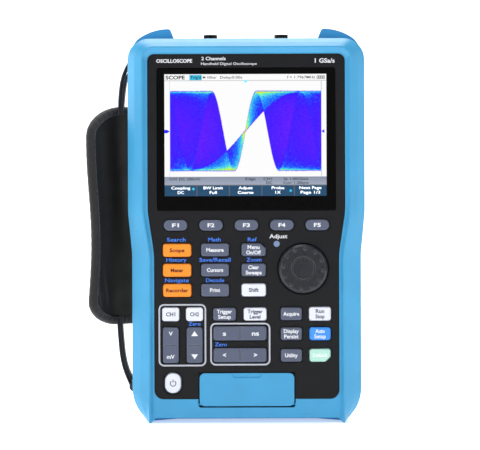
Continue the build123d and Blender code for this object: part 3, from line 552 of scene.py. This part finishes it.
inks = {
    "white": ink("ink_white", 232, 234, 240), "grey": ink("ink_grey", 78, 80, 92),
    "maroon": ink("ink_maroon", 84, 18, 10), "pale": ink("ink_pale", 236, 250, 246),
    "blue": ink("ink_blue", 62, 126, 240), "silver": ink("ink_silver", 186, 190, 200)}
print("cap height of the font:", round(CAP_OF_FONT, 3))

# %% [markdown]
# ## Legends on the keys
# Every legend rides on its own key, so it moves when the key is pressed. Its place comes from the
# key's box: the middle of the cap, a hair in front of its face. Two words stand one above the
# other. The rockers have a mark at each end instead.

# %% Key legends
CAP = 2.5 * MM
LINE_STEP = 3.7 * MM
KEY_WORDS = {
    "key_scope": ("maroon", ("Scope", 10.4)), "key_meter": ("maroon", ("Meter", 9.0)),
    "key_recorder": ("maroon", ("Recorder", 15.5)), "key_measure": ("white", ("Measure", 12.1)),
    "key_cursors": ("white", ("Cursors", 11.4)), "key_print": ("white", ("Print", 7.1)),
    "key_menu": ("white", ("Menu", 8.4), ("On/Off", 10.3)),
    "key_clear": ("white", ("Clear", 7.5), ("Sweeps", 11.2)), "key_shift": ("grey", ("Shift", 6.9)),
    "key_channel_1": ("grey", ("CH1", 6.5)), "key_channel_2": ("grey", ("CH2", 6.2)),
    "key_trigger_setup": ("white", ("Trigger", 10.6), ("Setup", 9.0)),
    "key_trigger_level": ("grey", ("Trigger", 10.6), ("Level", 7.5)), "key_acquire": ("white", ("Acquire", 11.2)),
    "key_run_stop": ("grey", ("Run", 6.0), ("Stop", 6.4)),
    "key_display": ("white", ("Display", 10.6), ("Persist", 10.0)),
    "key_auto_setup": ("white", ("Auto", 6.6), ("Setup", 8.2)), "key_utility": ("white", ("Utility", 9.0)),
    "key_default": ("pale", ("Default", 10.3))}
for number in range(1, 6):
    KEY_WORDS[f"key_f{number}"] = ("white", (f"F{number}", 4.85))


def key_face(node):
    """Middle of a key's front face: x, z and depth."""
    low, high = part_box(node)
    return (low.x + high.x) / 2, (low.z + high.z) / 2, low.y


for node, (colour, *lines) in KEY_WORDS.items():
    x, z, y = key_face(node)
    shift = (len(lines) - 1) / 2
    placed = [(words(text, width * MM, CAP), x, z + (shift - row) * LINE_STEP, y)
              for row, (text, width) in enumerate(lines)]
    marks(f"legend_{node[4:]}", placed, inks[colour], node)

ROCKER_REACH = 8.1 * MM
ROCKER_SPAN = 10.8 * MM
x, z, y = key_face("rocker_volts")
marks("legend_volts", [(words("V", 2.8 * MM, CAP), x, z + ROCKER_REACH, y),
                       (words("mV", 5.4 * MM, CAP), x, z - ROCKER_REACH, y)],
      inks["white"], "rocker_volts")
x, z, y = key_face("rocker_position")
marks("legend_position", [(prism(arrow(4.7 * MM, 3.5 * MM)), x, z + ROCKER_REACH, y),
                          (prism(arrow(4.7 * MM, -3.5 * MM)), x, z - ROCKER_REACH, y)], inks["white"],
      "rocker_position")
x, z, y = key_face("rocker_time")
marks("legend_time", [(words("s", 2.4 * MM, 3.0 * MM), x - ROCKER_SPAN, z, y),
                      (words("ns", 5.0 * MM, 3.0 * MM), x + ROCKER_SPAN, z, y)],
      inks["white"], "rocker_time")
x, z, y = key_face("rocker_horizontal")
marks("legend_horizontal", [(words("<", 2.4 * MM, 2.9 * MM, 0.04), x - ROCKER_SPAN, z, y),
                            (words(">", 2.4 * MM, 2.9 * MM, 0.04), x + ROCKER_SPAN, z, y)], inks["white"],
      "rocker_horizontal")


def power_sign(radius, line):
    """Open ring with a bar through its gap: the ring's outline runs out along one side and back on the other."""
    turn = np.radians(np.linspace(125, 415, 30))
    outside = np.column_stack([np.cos(turn), np.sin(turn)]) * (radius + line / 2)
    inside = np.column_stack([np.cos(turn), np.sin(turn)]) * (radius - line / 2)
    return prism(np.concatenate([outside, inside[::-1]])), prism(rounded(line, radius * 1.15, line / 2.2, 4))


x, z, y = key_face("key_power")
open_ring, bar = power_sign(1.95 * MM, 0.6 * MM)
marks("legend_power", [(open_ring, x, z - 0.2 * MM, y), (bar, x, z + 1.5 * MM, y)],
      inks["grey"], "key_power")

# %% [markdown]
# ## Print on the panel
# Second functions are printed in blue above their keys, thin rounded frames group the channel and
# time-base keys, and the header names what kind of instrument this is. No maker is named.

# %% Panel print
BLUE_WORDS = (("Search", -48.9, 127.8, 13.0), ("History", -48.9, 113.7, 14.2), ("Navigate", -48.6, 99.5, 16.6),
              ("Math", -22.3, 127.8, 8.8), ("Save/Recall", -22.0, 113.7, 21.8), ("Decode", -22.0, 99.5, 12.7),
              ("Ref", 4.0, 127.8, 6.3), ("Zoom", 5.2, 113.7, 10.4), ("Zero", -36.4, 69.1, 8.4),
              ("Zero", -18.1, 54.7, 8.4))
marks("panel_print_blue", [(words(text, width * MM, 2.6 * MM, 0.015), x * MM, z * MM, PANEL_Y)
                           for text, x, z, width in BLUE_WORDS], inks["blue"], "casing")

HEADER = (("Adjust", 22.2, 130.0, 12.5, 2.7, 0.015), ("1 GSa/s", 54.9, 252.4, 13.8, 2.9, 0.02),
          ("OSCILLOSCOPE", -50.0, 252.4, 25.0, 2.3, 0.03), ("2 Channels", -22.6, 254.0, 17.0, 2.2, 0.02),
          ("Handheld Digital Oscilloscope", -11.9, 250.4, 38.8, 1.7, 0.005))
marks("panel_print_white", [(words(text, width * MM, cap * MM, weight), x * MM, z * MM, PANEL_Y)
                            for text, x, z, width, cap, weight in HEADER], inks["white"], "casing")

FRAME_LINE = 1.1 * MM
FRAMES = ((-61.5, -28.3, 39.5, 82.9), (-25.5, 16.4, 40.0, 69.7))
placed = []
for left, right, low, high in FRAMES:
    width, height, radius = (right - left) * MM, (high - low) * MM, 3.8 * MM
    band = ring(rounded(width, height, radius),
                rounded(width - 2 * FRAME_LINE, height - 2 * FRAME_LINE, radius - FRAME_LINE))
    placed.append((band, (left + right) / 2 * MM, (low + high) / 2 * MM, PANEL_Y))
marks("panel_frames", placed, inks["silver"], "casing")
print("panel print:", len(BLUE_WORDS) + len(HEADER), "words")

# %% [markdown]
# ## The lit screen
# The display shows a persistence trace: a sine whose frequency is swept, always caught as it rises
# through the trigger point. Wherever many sweeps pass, the display paints a hotter colour. That
# picture is worked out here as a count of passes for each cell of a grid, and the counts become
# colours stored on a fine mesh that glows. Words are thin solids just in front of it.

# %% The picture
lcd_low, lcd_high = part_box("lcd_module")
LIT_LEFT, LIT_RIGHT = lcd_low.x + 6 * MM, lcd_high.x - 6 * MM
LIT_LOW, LIT_TOP = lcd_low.z + 5 * MM, lcd_high.z - 5 * MM
LIT_WIDE, LIT_HIGH = (LIT_RIGHT - LIT_LEFT) / MM, (LIT_TOP - LIT_LOW) / MM
PICTURE_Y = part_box("screen_window")[0].y - 0.03 * MM
SHEET = 0.02 * MM
COLUMNS, ROWS = 340, 256
GRATICULE = (3.7, 109.4, 4.5, 71.3)
TRIGGER, CENTRE, SWING = 56.4, 39.65, 27.3
SLOWEST, FASTEST = 149.0, 31.0
INFO_TOP, MENU_TOP = 71.4, 77.3
MENU_CELL = LIT_WIDE / 5


def passes(rights, downs, sweeps=1500, steps=3, seed=7):
    """How many sweeps pass each cell: depth = centre - swing * sin(2 pi * (right - trigger) / period)."""
    rng = np.random.default_rng(seed)
    rate = np.linspace(1 / SLOWEST, 1 / FASTEST, sweeps)
    right = np.linspace(rights[0], rights[-1], len(rights) * steps)[:, None]
    down = CENTRE - SWING * np.sin(2 * math.pi * (right - TRIGGER) * rate)
    down += rng.normal(0, 0.22, down.shape)
    row = np.clip(np.rint((down - downs[0]) / (downs[1] - downs[0])), 0, len(downs) - 1).astype(int)
    column = np.repeat(np.arange(len(rights)), steps)[:, None]
    count = np.bincount((row * len(rights) + column).ravel(), minlength=len(rights) * len(downs))
    return count.reshape(len(downs), len(rights)) * rng.lognormal(0, 0.28, (len(downs), len(rights)))


HEAT = ((0.6, 238, 226, 255), (2.4, 170, 70, 255), (6.5, 110, 0, 255), (20, 66, 0, 255), (38, 34, 6, 255),
        (58, 0, 90, 255), (88, 20, 160, 255), (136, 90, 235, 240), (204, 130, 255, 120), (320, 220, 255, 20),
        (700, 255, 190, 0), (1700, 235, 70, 20), (4200, 150, 40, 40))


def picture_colours(right, down):
    """Display colours for the grid: trace over white, status bar above, information and menu rows below."""
    rights, downs = right[0], down[:, 0]
    count = passes(rights, downs)
    table = np.array(HEAT)
    shades = [np.interp(np.log(count + 0.01), np.log(table[:, 0]), table[:, k]) for k in (1, 2, 3)]
    trace = np.stack(shades, axis=-1)
    paper = np.full(right.shape + (3,), 253.0)
    left, end, top, foot = GRATICULE
    inside = (right > left) & (right < end) & (down > top) & (down < foot)
    colours = np.where((inside & (count > 0.5))[..., None], trace, paper)
    edge = (np.minimum(abs(right - left), abs(right - end)) < 0.2) & (down > top) | (abs(down - top) < 0.2)
    colours[edge & (down < foot) & (count < 0.5)] = (212, 212, 214)
    colours[(abs(right - 21.8) < 4.3) & (abs(down - 2.25) < 1.9)] = (52, 190, 226)
    info = (down > INFO_TOP) & (down <= MENU_TOP)
    shade = np.clip((down - INFO_TOP) / (MENU_TOP - INFO_TOP), 0, 1)[..., None]
    colours = np.where(info[..., None], (136, 146, 166) + shade * np.array((26, 26, 24)), colours)
    menu = down > MENU_TOP
    colours[menu] = (26, 74, 110)
    between = abs((right + MENU_CELL / 2) % MENU_CELL - MENU_CELL / 2) < 0.35
    colours[menu & between & (right > 1) & (right < LIT_WIDE - 1)] = (92, 96, 100)
    colours[menu & (down < MENU_TOP + 0.4)] = (96, 104, 112)
    for cell in (0, 3):
        spot = (right - (cell + 0.89) * MENU_CELL) ** 2 + (down - (80.0 + cell * 0.45)) ** 2 < 0.8
        colours[spot] = (60, 200, 240)
    return colours


def linear(display):
    """Display values 0..255 as linear light."""
    v = np.clip(display, 0, 255) / 255
    return np.where(v > 0.04045, ((v + 0.055) / 1.055) ** 2.4, v / 12.92)


def glowing(name, strength):
    """A lit display surface behind a hard clear coat: the colours stored on its points glow."""
    made = Finish(name, tone(6, 6, 8), 0.2, Coat_Weight=0.4, Coat_Roughness=0.05)
    made.gloss(0.2, 0.04, 400.0)
    colour = made.node("ShaderNodeAttribute", attribute_name="picture").outputs["Color"]
    made.link(colour, made.shader.inputs["Emission Color"])
    made.shader.inputs["Emission Strength"].default_value = strength
    made.relief(made.noise(800, 2.0), 0.000002)
    return made.material


def screen_picture():
    """A thin closed sheet: a front grid coloured point by point, four narrow walls and one face behind."""
    right, down = np.meshgrid(np.linspace(0, LIT_WIDE, COLUMNS), np.linspace(0, LIT_HIGH, ROWS))
    points = np.column_stack([LIT_LEFT + right.ravel() * MM, np.full(right.size, PICTURE_Y),
                              LIT_TOP - down.ravel() * MM])
    number = np.arange(right.size).reshape(ROWS, COLUMNS)
    rim = np.concatenate([number[0, :-1], number[:-1, -1], number[-1, :0:-1], number[:0:-1, 0]])
    behind = right.size + np.arange(len(rim))
    walls = np.column_stack([rim, np.roll(rim, -1), np.roll(behind, -1), behind])
    points = np.concatenate([points, points[rim] + (0.0, SHEET, 0.0)])
    front = grid_quads(ROWS, COLUMNS)[:, ::-1]
    corners = np.concatenate([front.ravel(), walls.ravel(), behind])
    sizes = np.concatenate([np.full(len(front) + len(walls), 4), [len(rim)]])
    mesh = face_mesh("screen_picture", points, corners, sizes)
    layer = mesh.color_attributes.new("picture", "FLOAT_COLOR", "POINT")
    colours = np.ones((len(points), 4), np.float32)
    shown = linear(picture_colours(right, down)).reshape(-1, 3)
    colours[:, :3] = np.concatenate([shown, shown[rim]])
    layer.data.foreach_set("color", colours.ravel())
    mesh.materials.append(glowing("screen_glow", 1.0))
    piece = link_mesh("screen_picture", mesh)
    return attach(piece, "casing")


picture = screen_picture()
print("picture cells:", len(picture.data.polygons))

# %% [markdown]
# Words on the display are plain readings and menu names. Dark ones are ink on the white ground;
# the menu's are white and glow like the rest of the display.

# %% Words on the screen
DARK_WORDS = (("SCOPE", 7.6, 2.3, 13.4, 2.4, 0.03), ("Trig'd", 21.8, 2.25, 7.4, 1.9, 0.015),
              ("M 100ns/", 31.6, 2.25, 9.4, 1.7, 0.01), ("Delay:0.00s", 46.6, 2.25, 15.4, 1.7, 0.01),
              ("f = 1.7967MHz", 95.4, 2.25, 19.6, 1.7, 0.01), ("CH1 DC 200mV/", 14.2, 73.1, 21.6, 1.8, 0.01),
              ("Edge", 59.9, 73.1, 7.0, 1.8, 0.01), ("CH1", 71.9, 73.1, 6.0, 1.8, 0.01),
              ("DC", 72.9, 75.8, 4.2, 1.8, 0.01),
              ("Sa 1.00GSa/s", 91.5, 73.1, 17.0, 1.7, 0.01), ("Curr 1.20kpts", 91.6, 75.8, 17.6, 1.7, 0.01))
MENU_WORDS = ((("Coupling", 13.2), ("DC", 4.4)), (("BW Limit", 13.6), ("Full", 5.0)),
              (("Adjust", 9.8), ("Coarse", 11.0)),
              (("Probe", 8.8), ("1X", 3.8)), (("Next Page", 15.4), ("Page 1/3", 13.6)))


def on_screen(right, down):
    """A point of the display, from its top left corner in millimetres, as x, z and depth."""
    return LIT_LEFT + right * MM, LIT_TOP - down * MM, PICTURE_Y


def glow_ink(name, red, green, blue):
    """A display colour for solid marks."""
    made = Finish(name, tone(red, green, blue), 0.3)
    made.gloss(0.3, 0.05, 400.0)
    made.paint(made.drift(tone(red, green, blue), 0.02, 200.0))
    made.shader.inputs["Emission Color"].default_value = tone(red, green, blue)
    made.shader.inputs["Emission Strength"].default_value = 0.85
    return made.material


marks("screen_words_dark", [(words(text, width * MM, cap * MM, weight), *on_screen(right, down))
                            for text, right, down, width, cap, weight in DARK_WORDS],
      glow_ink("display_black", 14, 14, 18), "casing")
placed = []
for cell, lines in enumerate(MENU_WORDS):
    for row, (text, width) in enumerate(lines):
        placed.append((words(text, width * MM, 1.9 * MM, 0.01), *on_screen((cell + 0.5) * MENU_CELL, 79.3 + 3.2 * row)))
marks("screen_words_light", placed, glow_ink("display_white", 236, 242, 246), "casing")

side_arrow = arrow(2.6 * MM, 2.2 * MM)
points_right, points_left = side_arrow[:, ::-1][::-1], (side_arrow * (1, -1))[:, ::-1]
tag = prism(rounded(1.9 * MM, 2.4 * MM, 0.4 * MM, 3))
marks("screen_markers_blue", [(tag, *on_screen(0.95, 39.9)), (prism(points_right), *on_screen(2.6, 39.9)),
                              (prism(points_left), *on_screen(110.4, 39.9))],
      glow_ink("display_blue", 22, 20, 235), "casing")
marks("screen_marker_cyan", [(prism(arrow(3.2 * MM, -1.7 * MM)), *on_screen(56.7, 5.3))],
      glow_ink("display_cyan", 40, 182, 222), "casing")
battery = ring(rounded(5.6 * MM, 2.3 * MM, 0.4 * MM, 3), rounded(4.8 * MM, 1.5 * MM, 0.2 * MM, 3))
cells = [(prism(rounded(1.0 * MM, 1.1 * MM, 0.1 * MM, 2)), *on_screen(107.7 + 1.4 * k, 2.3)) for k in range(3)]
marks("screen_battery", [(battery, *on_screen(109.1, 2.3)), *cells], glow_ink("display_grey", 70, 72, 76), "casing")
print("screen words:", len(DARK_WORDS) + 2 * len(MENU_WORDS))

# %% [markdown]
# ## The hand strap: its plane and outline
# The pad lies along the rear left corner, so its width runs back and inwards. A point of the pad is
# given by (across, up, out): across towards the rear, up from its middle and out towards the
# casing. The tilt is the CAD solid's; the pad is pulled in a little below its shoulder, by a slow
# cosine, both in width and towards the hand.

# %% Pad coordinates
PAD_TILT = math.radians(32.5)
SIN, COS = math.sin(PAD_TILT), math.cos(PAD_TILT)
pad_low, pad_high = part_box("strap_pad")
pad_span, pad_middle = pad_high - pad_low, (pad_high + pad_low) / 2 + Vector((-1.4 * MM, 0.0, 0.0))
PAD_WIDE = (pad_span.y * COS - pad_span.x * SIN) / (COS * COS - SIN * SIN)
PAD_TALL = pad_span.z
TAPE_ROOM = 0.7 * MM
SHOULDER, WAIST_RUN = 53 * MM, 73 * MM
NARROWING, BOW = 3.6 * MM, 1.8 * MM


def pull(up):
    """0 at the shoulder and above it, 1 at the waist: (1 - cos(pi * drop / run)) / 2."""
    drop = np.clip((SHOULDER - up) / WAIST_RUN, 0, None)
    return 0.5 - 0.5 * np.cos(math.pi * drop)


def pad_place(points):
    """Pad coordinates (across, up, out) to the instrument's frame."""
    across, up, out = np.asarray(points, float).T
    across = across + NARROWING * pull(up) * np.clip(-across / (PAD_WIDE / 2), 0, 1)
    out = out + BOW * pull(up)
    x = pad_middle.x + across * SIN + out * COS
    y = pad_middle.y + across * COS - out * SIN
    return np.column_stack([x, y, pad_middle.z + up])


def pad_outline(count):
    """Closed outline with four elliptic corners, walked anticlockwise in equal steps."""
    corners = ((1, -1, 16, 14), (1, 1, 14, 18), (-1, 1, 44, 22), (-1, -1, 34, 17))
    half_wide, half_tall = PAD_WIDE / 2 - TAPE_ROOM, PAD_TALL / 2 - TAPE_ROOM
    walk = []
    for k, (side, end, reach, rise) in enumerate(corners):
        angle = np.linspace(0, math.pi / 2, 40) + (k - 1) * math.pi / 2
        walk.append(np.column_stack([side * (half_wide - reach * MM) + reach * MM * np.cos(angle),
                                     end * (half_tall - rise * MM) + rise * MM * np.sin(angle)]))
    walk = np.concatenate(walk + [walk[0][:1]])
    length = np.concatenate([[0], np.cumsum(np.hypot(*np.diff(walk, axis=0).T))])
    even = np.linspace(0, length[-1], count, endpoint=False)
    return np.column_stack([np.interp(even, length, walk[:, 0]), np.interp(even, length, walk[:, 1])]), length[-1]


outline, around = pad_outline(240)
print("pad:", round(PAD_WIDE / MM, 1), "x", round(PAD_TALL / MM, 1), "mm, edge", round(around / MM), "mm")

# %% [markdown]
# ## The padded body
# A flat foam pad in knit cover is thin at its sewn edge and full in the middle. The start shape is a
# set of rings shrinking onto a spine, remeshed into even squares. A short cloth simulation with a
# little air pressure then fills it, while its edge stays pinned where the tape holds it. How far a
# point may move is capped, and slow creases run down it, deeper near its lower front corner.

# %% Filling the pad
EDGE_HALF, BODY_HALF = 1.7 * MM, 2.3 * MM
SPINE = 50 * MM
TAPE_WIDTH = 5.2 * MM
MOST_SHIFT = 1.4 * MM


def pad_start():
    """Rings between outline and spine: point = spine + share * (outline - spine), thick by the share."""
    shares = np.concatenate([np.linspace(0.0, 0.85, 10), [0.9, 0.94, 0.97, 1.0]])
    spine = np.column_stack([np.zeros(len(outline)), np.clip(outline[:, 1], -SPINE, SPINE)])
    rings = []
    for out_side in (1, -1):
        for share in shares if out_side > 0 else shares[::-1]:
            flat = spine + share * (outline - spine)
            half = EDGE_HALF + (BODY_HALF - EDGE_HALF) * (1 - share ** 4)
            half *= math.sqrt(max(0.0, 1 - max(0.0, (share - 0.94) / 0.06) ** 2)) * 0.6 + 0.4
            rings.append(np.column_stack([flat, np.full(len(flat), out_side * half)]))
    points = pad_place(np.concatenate(rings))
    mesh = quad_mesh("pad_start", points, grid_quads(len(rings), len(outline), close_columns=True))
    weld(mesh, 0.00001, turn_out=True)
    return link_mesh("pad_start", mesh)


def evaluated(piece, name):
    """The piece's mesh with its modifiers applied, as a new mesh."""
    depsgraph = bpy.context.evaluated_depsgraph_get()
    mesh = bpy.data.meshes.new_from_object(piece.evaluated_get(depsgraph), depsgraph=depsgraph)
    mesh.name = name
    return mesh


def coordinates(mesh):
    """All points of a mesh as an array."""
    points = np.empty(3 * len(mesh.vertices))
    mesh.vertices.foreach_get("co", points)
    return points.reshape(-1, 3)


def in_plane(points):
    """Points of the frame as (across, up) in the pad's plane."""
    return (points - np.array(pad_middle)) @ np.array([[SIN, 0], [COS, 0], [0, 1]])


def edge_distance(points):
    """How far each point is from the pad's edge, measured in the pad's plane."""
    rim = pad_place(np.column_stack([outline, np.zeros(len(outline))]))
    gap = in_plane(points)[:, None, :] - in_plane(rim)[None, :, :]
    return np.sqrt((gap ** 2).sum(axis=2)).min(axis=1)


def fill_pad(piece, pressure=4.0, last_frame=20):
    """Cloth with air pressure and a pinned edge, stepped a few frames, then applied."""
    distance = edge_distance(coordinates(piece.data))
    pins = piece.vertex_groups.new(name="sewn")
    for index in np.nonzero(distance < TAPE_WIDTH - 1 * MM)[0]:
        pins.add([int(index)], 1.0, "REPLACE")
    cloth = piece.modifiers.new("cloth", "CLOTH")
    settings = cloth.settings
    settings.quality, settings.mass = 6, 0.25
    settings.use_pressure, settings.uniform_pressure_force = True, pressure
    settings.vertex_group_mass = "sewn"
    settings.effector_weights.gravity = 0.0
    cloth.point_cache.frame_start, cloth.point_cache.frame_end = 1, last_frame
    scene = bpy.context.scene
    for frame_number in range(1, last_frame + 1):
        scene.frame_set(frame_number)
    mesh = evaluated(piece, "pad_filled")
    scene.frame_set(1)
    return mesh


def strap_pad():
    """Start shape, even squares, filling, capped movement and creases."""
    start = pad_start()
    remesh = start.modifiers.new("even", "REMESH")
    remesh.mode, remesh.voxel_size = "VOXEL", 0.0022
    mesh = evaluated(start, "strap_pad_body")
    bpy.data.objects.remove(start)
    piece = link_mesh("strap_pad_body", mesh)
    rest = coordinates(mesh)
    moved = rest.copy()
    filled = fill_pad(piece)
    shift = coordinates(filled) - rest
    reach = np.linalg.norm(shift, axis=1, keepdims=True)
    moved = rest + shift * np.minimum(1, MOST_SHIFT / np.maximum(reach, 1e-9))
    piece.modifiers.clear()
    piece.vertex_groups.clear()
    up = (moved[:, 2] - pad_middle.z) / PAD_TALL
    across = ((moved - np.array(pad_middle)) @ np.array([SIN, COS, 0])) / PAD_WIDE
    inner = np.clip(edge_distance(moved) / (12 * MM), 0, 1) ** 1.5
    crease = 0.30 * np.sin(17 * across + 2.2 * up + 1.0) * np.sin(3.0 * up + 0.6)
    corner = np.exp(-((across + 0.34) / 0.10) ** 2 - ((up + 0.38) / 0.09) ** 2)
    crease += 0.9 * corner * np.sin(52 * (across + 0.55 * up))
    moved += (crease * inner * MM)[:, None] * np.array([COS, -SIN, 0])
    mesh.vertices.foreach_set("co", moved.ravel())
    mesh.update()
    smooth = piece.modifiers.new("smooth", "SUBSURF")
    smooth.levels = smooth.render_levels = 1
    mesh.polygons.foreach_set("use_smooth", np.full(len(mesh.polygons), True))
    mesh.materials.clear()
    mesh.materials.append(finishes["strap_fabric"])
    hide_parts("strap_pad")
    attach(piece, "casing")
    return piece


pad = strap_pad()
print("pad faces:", len(pad.data.polygons))

# %% [markdown]
# ## Binding tape and its stitches
# A ribbed tape is folded over the pad's edge and sewn through. Its section is a flattened U, carried
# once round the outline. The stitches are short lengths of thread, a row on each face, laid at equal
# steps close to the tape's inner edge.

# %% Swept strips
def strip_mesh(name, rows, along, across, closed):
    """A closed tube of sections: rows[path, section, xyz], with distances along and across in mm."""
    count, size, _ = rows.shape
    quads = grid_quads(count, size, close_rows=closed, close_columns=True)
    corners, sizes = quads.ravel(), np.full(len(quads), 4)
    if not closed:
        ends = np.concatenate([np.arange(size), np.arange(size)[::-1] + (count - 1) * size])
        corners, sizes = np.concatenate([corners, ends]), np.concatenate([sizes, [size, size]])
    mesh = face_mesh(name, rows.reshape(-1, 3), corners, sizes, smooth=True)
    weave = mesh.attributes.new("strip", "FLOAT_VECTOR", "POINT")
    values = np.zeros((count, size, 3), np.float32)
    values[:, :, 0], values[:, :, 1] = np.asarray(along)[:, None] / MM, np.asarray(across)[None, :] / MM
    weave.data.foreach_set("vector", values.ravel())
    weld(mesh, 0.000001, turn_out=True)
    return mesh


def edge_frames(line):
    """Unit tangents and outward normals of a closed anticlockwise line in the pad's plane."""
    tangent = np.roll(line, -1, axis=0) - np.roll(line, 1, axis=0)
    tangent /= np.linalg.norm(tangent, axis=1, keepdims=True)
    return tangent, np.column_stack([tangent[:, 1], -tangent[:, 0]])


TAPE_SECTION = np.array([(-5.2, 2.9), (-4.2, 3.15), (-2.5, 3.05), (-0.9, 2.5), (0.1, 1.5), (0.5, 0.0), (0.1, -1.5),
                         (-0.9, -2.5), (-2.5, -3.05), (-4.2, -3.15), (-5.2, -2.9), (-5.2, -1.6), (-2.0, -1.2),
                         (-1.0, 0.0), (-2.0, 1.2), (-5.2, 1.6)]) * MM


def binding():
    """The tape: section points go outwards along the edge's normal and out along the pad's."""
    tangent, outward = edge_frames(outline)
    flat = outline[:, None, :] + TAPE_SECTION[None, :, 0:1] * outward[:, None, :]
    sag = 0.12 * MM * np.sin(np.arange(len(outline)) * 1.7)[:, None]
    level = np.broadcast_to(TAPE_SECTION[None, :, 1], flat.shape[:2]) + sag * np.sign(TAPE_SECTION[None, :, 1])
    rows = pad_place(np.dstack([flat, level]).reshape(-1, 3)).reshape(*level.shape, 3)
    along = np.linspace(0, around, len(outline))
    across = np.concatenate([[0], np.cumsum(np.hypot(*np.diff(TAPE_SECTION, axis=0).T))])
    piece = link_mesh("strap_binding", strip_mesh("strap_binding", rows, along, across, True))
    smooth = piece.modifiers.new("smooth", "SUBSURF")
    smooth.levels = smooth.render_levels = 1
    return piece


def thread_row(line, tangent, outward, inset, level, pitch, length, thick):
    """Stitches as small spindles: rings of five points whose radius is a half sine of the length."""
    steps = int(round(around / pitch))
    index = np.linspace(0, len(line), steps, endpoint=False).astype(int)
    middle = line[index] - inset * outward[index]
    share = np.linspace(0.06, 0.94, 5)
    turn = np.linspace(0, 2 * math.pi, 6)[:-1]
    radius = thick * np.sin(math.pi * share) ** 0.5
    lift = 0.25 * thick * np.sin(math.pi * share)
    run = (share - 0.5) * length
    flat = middle[:, None, None, :] + run[None, :, None, None] * tangent[index][:, None, None, :]
    flat = flat + (radius[:, None] * np.cos(turn))[None, :, :, None] * outward[index][:, None, None, :]
    sign = 1 if level > 0 else -1
    out = level + sign * (lift[:, None] + radius[:, None] * np.sin(turn))[None] * np.ones((steps, 1, 1))
    return np.concatenate([flat, out[..., None]], axis=-1)


def stitches():
    """Two rows of thread on the tape, one on each face."""
    tangent, outward = edge_frames(outline)
    rows = [thread_row(outline, tangent, outward, 4.2 * MM, side * 3.15 * MM, 4.0 * MM, 3.0 * MM, 0.33 * MM)
            for side in (1, -1)]
    blocks = np.concatenate(rows)
    count, rings, size, _ = blocks.shape
    points = pad_place(blocks.reshape(-1, 3))
    quads = grid_quads(rings, size, close_columns=True)
    caps = np.concatenate([np.arange(size)[::-1], np.arange(size) + (rings - 1) * size])
    starts = (np.arange(count) * rings * size)[:, None]
    corners = np.concatenate([(quads.ravel()[None, :] + starts).ravel(), (caps[None, :] + starts).ravel()])
    sizes = np.concatenate([np.full(len(quads) * count, 4), np.full(2 * count, size)])
    mesh = face_mesh("strap_stitches", points, corners, sizes, smooth=True)
    weld(mesh, 0.0000001, turn_out=True)
    return link_mesh("strap_stitches", mesh)


for piece, finish in ((binding(), binding_finish), (stitches(), thread_finish)):
    piece.data.materials.append(finish)
    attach(piece, "casing")
    print(piece.name, len(piece.data.polygons), "faces")

# %% [markdown]
# ## Webbing
# One length of webbing at each end goes from the pad round a bar and back, so two layers lie close
# together. Each is a flat strip with soft edges, carried along a given line that is rounded by
# cutting its corners three times.

# %% The two lengths of webbing
WEB_HALF, WEB_THICK = 10.0 * MM, 1.8 * MM
rear_low, rear_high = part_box("strap_webbing")
WEB_Y = (rear_low.y + rear_high.y) / 2


def cut_corners(line, rounds=3):
    """Each round puts two points on every run, a quarter from its ends, and keeps the line's own ends."""
    line = np.asarray(line, float)
    for _ in range(rounds):
        first, second = line[:-1] * 0.75 + line[1:] * 0.25, line[:-1] * 0.25 + line[1:] * 0.75
        middle = np.stack([first, second], axis=1).reshape(-1, 2)
        line = np.concatenate([line[:1], middle, line[-1:]])
    return line


def webbing(name, route):
    """A strip whose width runs along Y and whose line lies in the XZ plane."""
    line = cut_corners(np.array(route) * MM)
    tangent = np.gradient(line, axis=0)
    tangent /= np.linalg.norm(tangent, axis=1, keepdims=True)
    normal = np.column_stack([-tangent[:, 1], tangent[:, 0]])
    section = rounded(2 * WEB_HALF, WEB_THICK, 0.45 * WEB_THICK, 4)
    x = line[:, None, 0] + section[None, :, 1] * normal[:, None, 0]
    z = line[:, None, 1] + section[None, :, 1] * normal[:, None, 1]
    y = np.broadcast_to(WEB_Y + section[None, :, 0], x.shape)
    along = np.concatenate([[0], np.cumsum(np.hypot(*np.diff(line, axis=0).T))])
    mesh = strip_mesh(name, np.stack([x, y, z], axis=-1), along, section[:, 0], False)
    mesh.materials.append(finishes["strap_webbing"])
    piece = link_mesh(name, mesh)
    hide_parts("strap_webbing")
    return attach(piece, "casing")


UPPER_ROUTE = ((-89.4, 216.5), (-89.6, 224.0), (-89.0, 233.0), (-87.6, 242.0), (-84.4, 250.0), (-81.4, 254.4),
               (-78.2, 254.9), (-76.7, 251.8), (-78.4, 249.2), (-82.2, 246.6), (-85.2, 241.4), (-86.4, 234.0),
               (-87.2, 226.0), (-87.9, 216.5))
LOWER_ROUTE = ((-90.6, 74.0), (-90.6, 66.0), (-89.9, 57.0), (-88.9, 46.0), (-87.0, 37.0), (-84.3, 30.0), (-82.3, 25.6),
               (-81.2, 21.6), (-78.4, 21.0), (-77.0, 24.0), (-79.4, 27.0), (-82.3, 31.0), (-85.2, 37.9), (-87.0, 46.5),
               (-88.0, 57.2), (-88.7, 66.0), (-88.7, 74.0))
for name, route in (("webbing_upper", UPPER_ROUTE), ("webbing_lower", LOWER_ROUTE)):
    piece = webbing(name, route)
    print(name, len(piece.data.polygons), "faces")
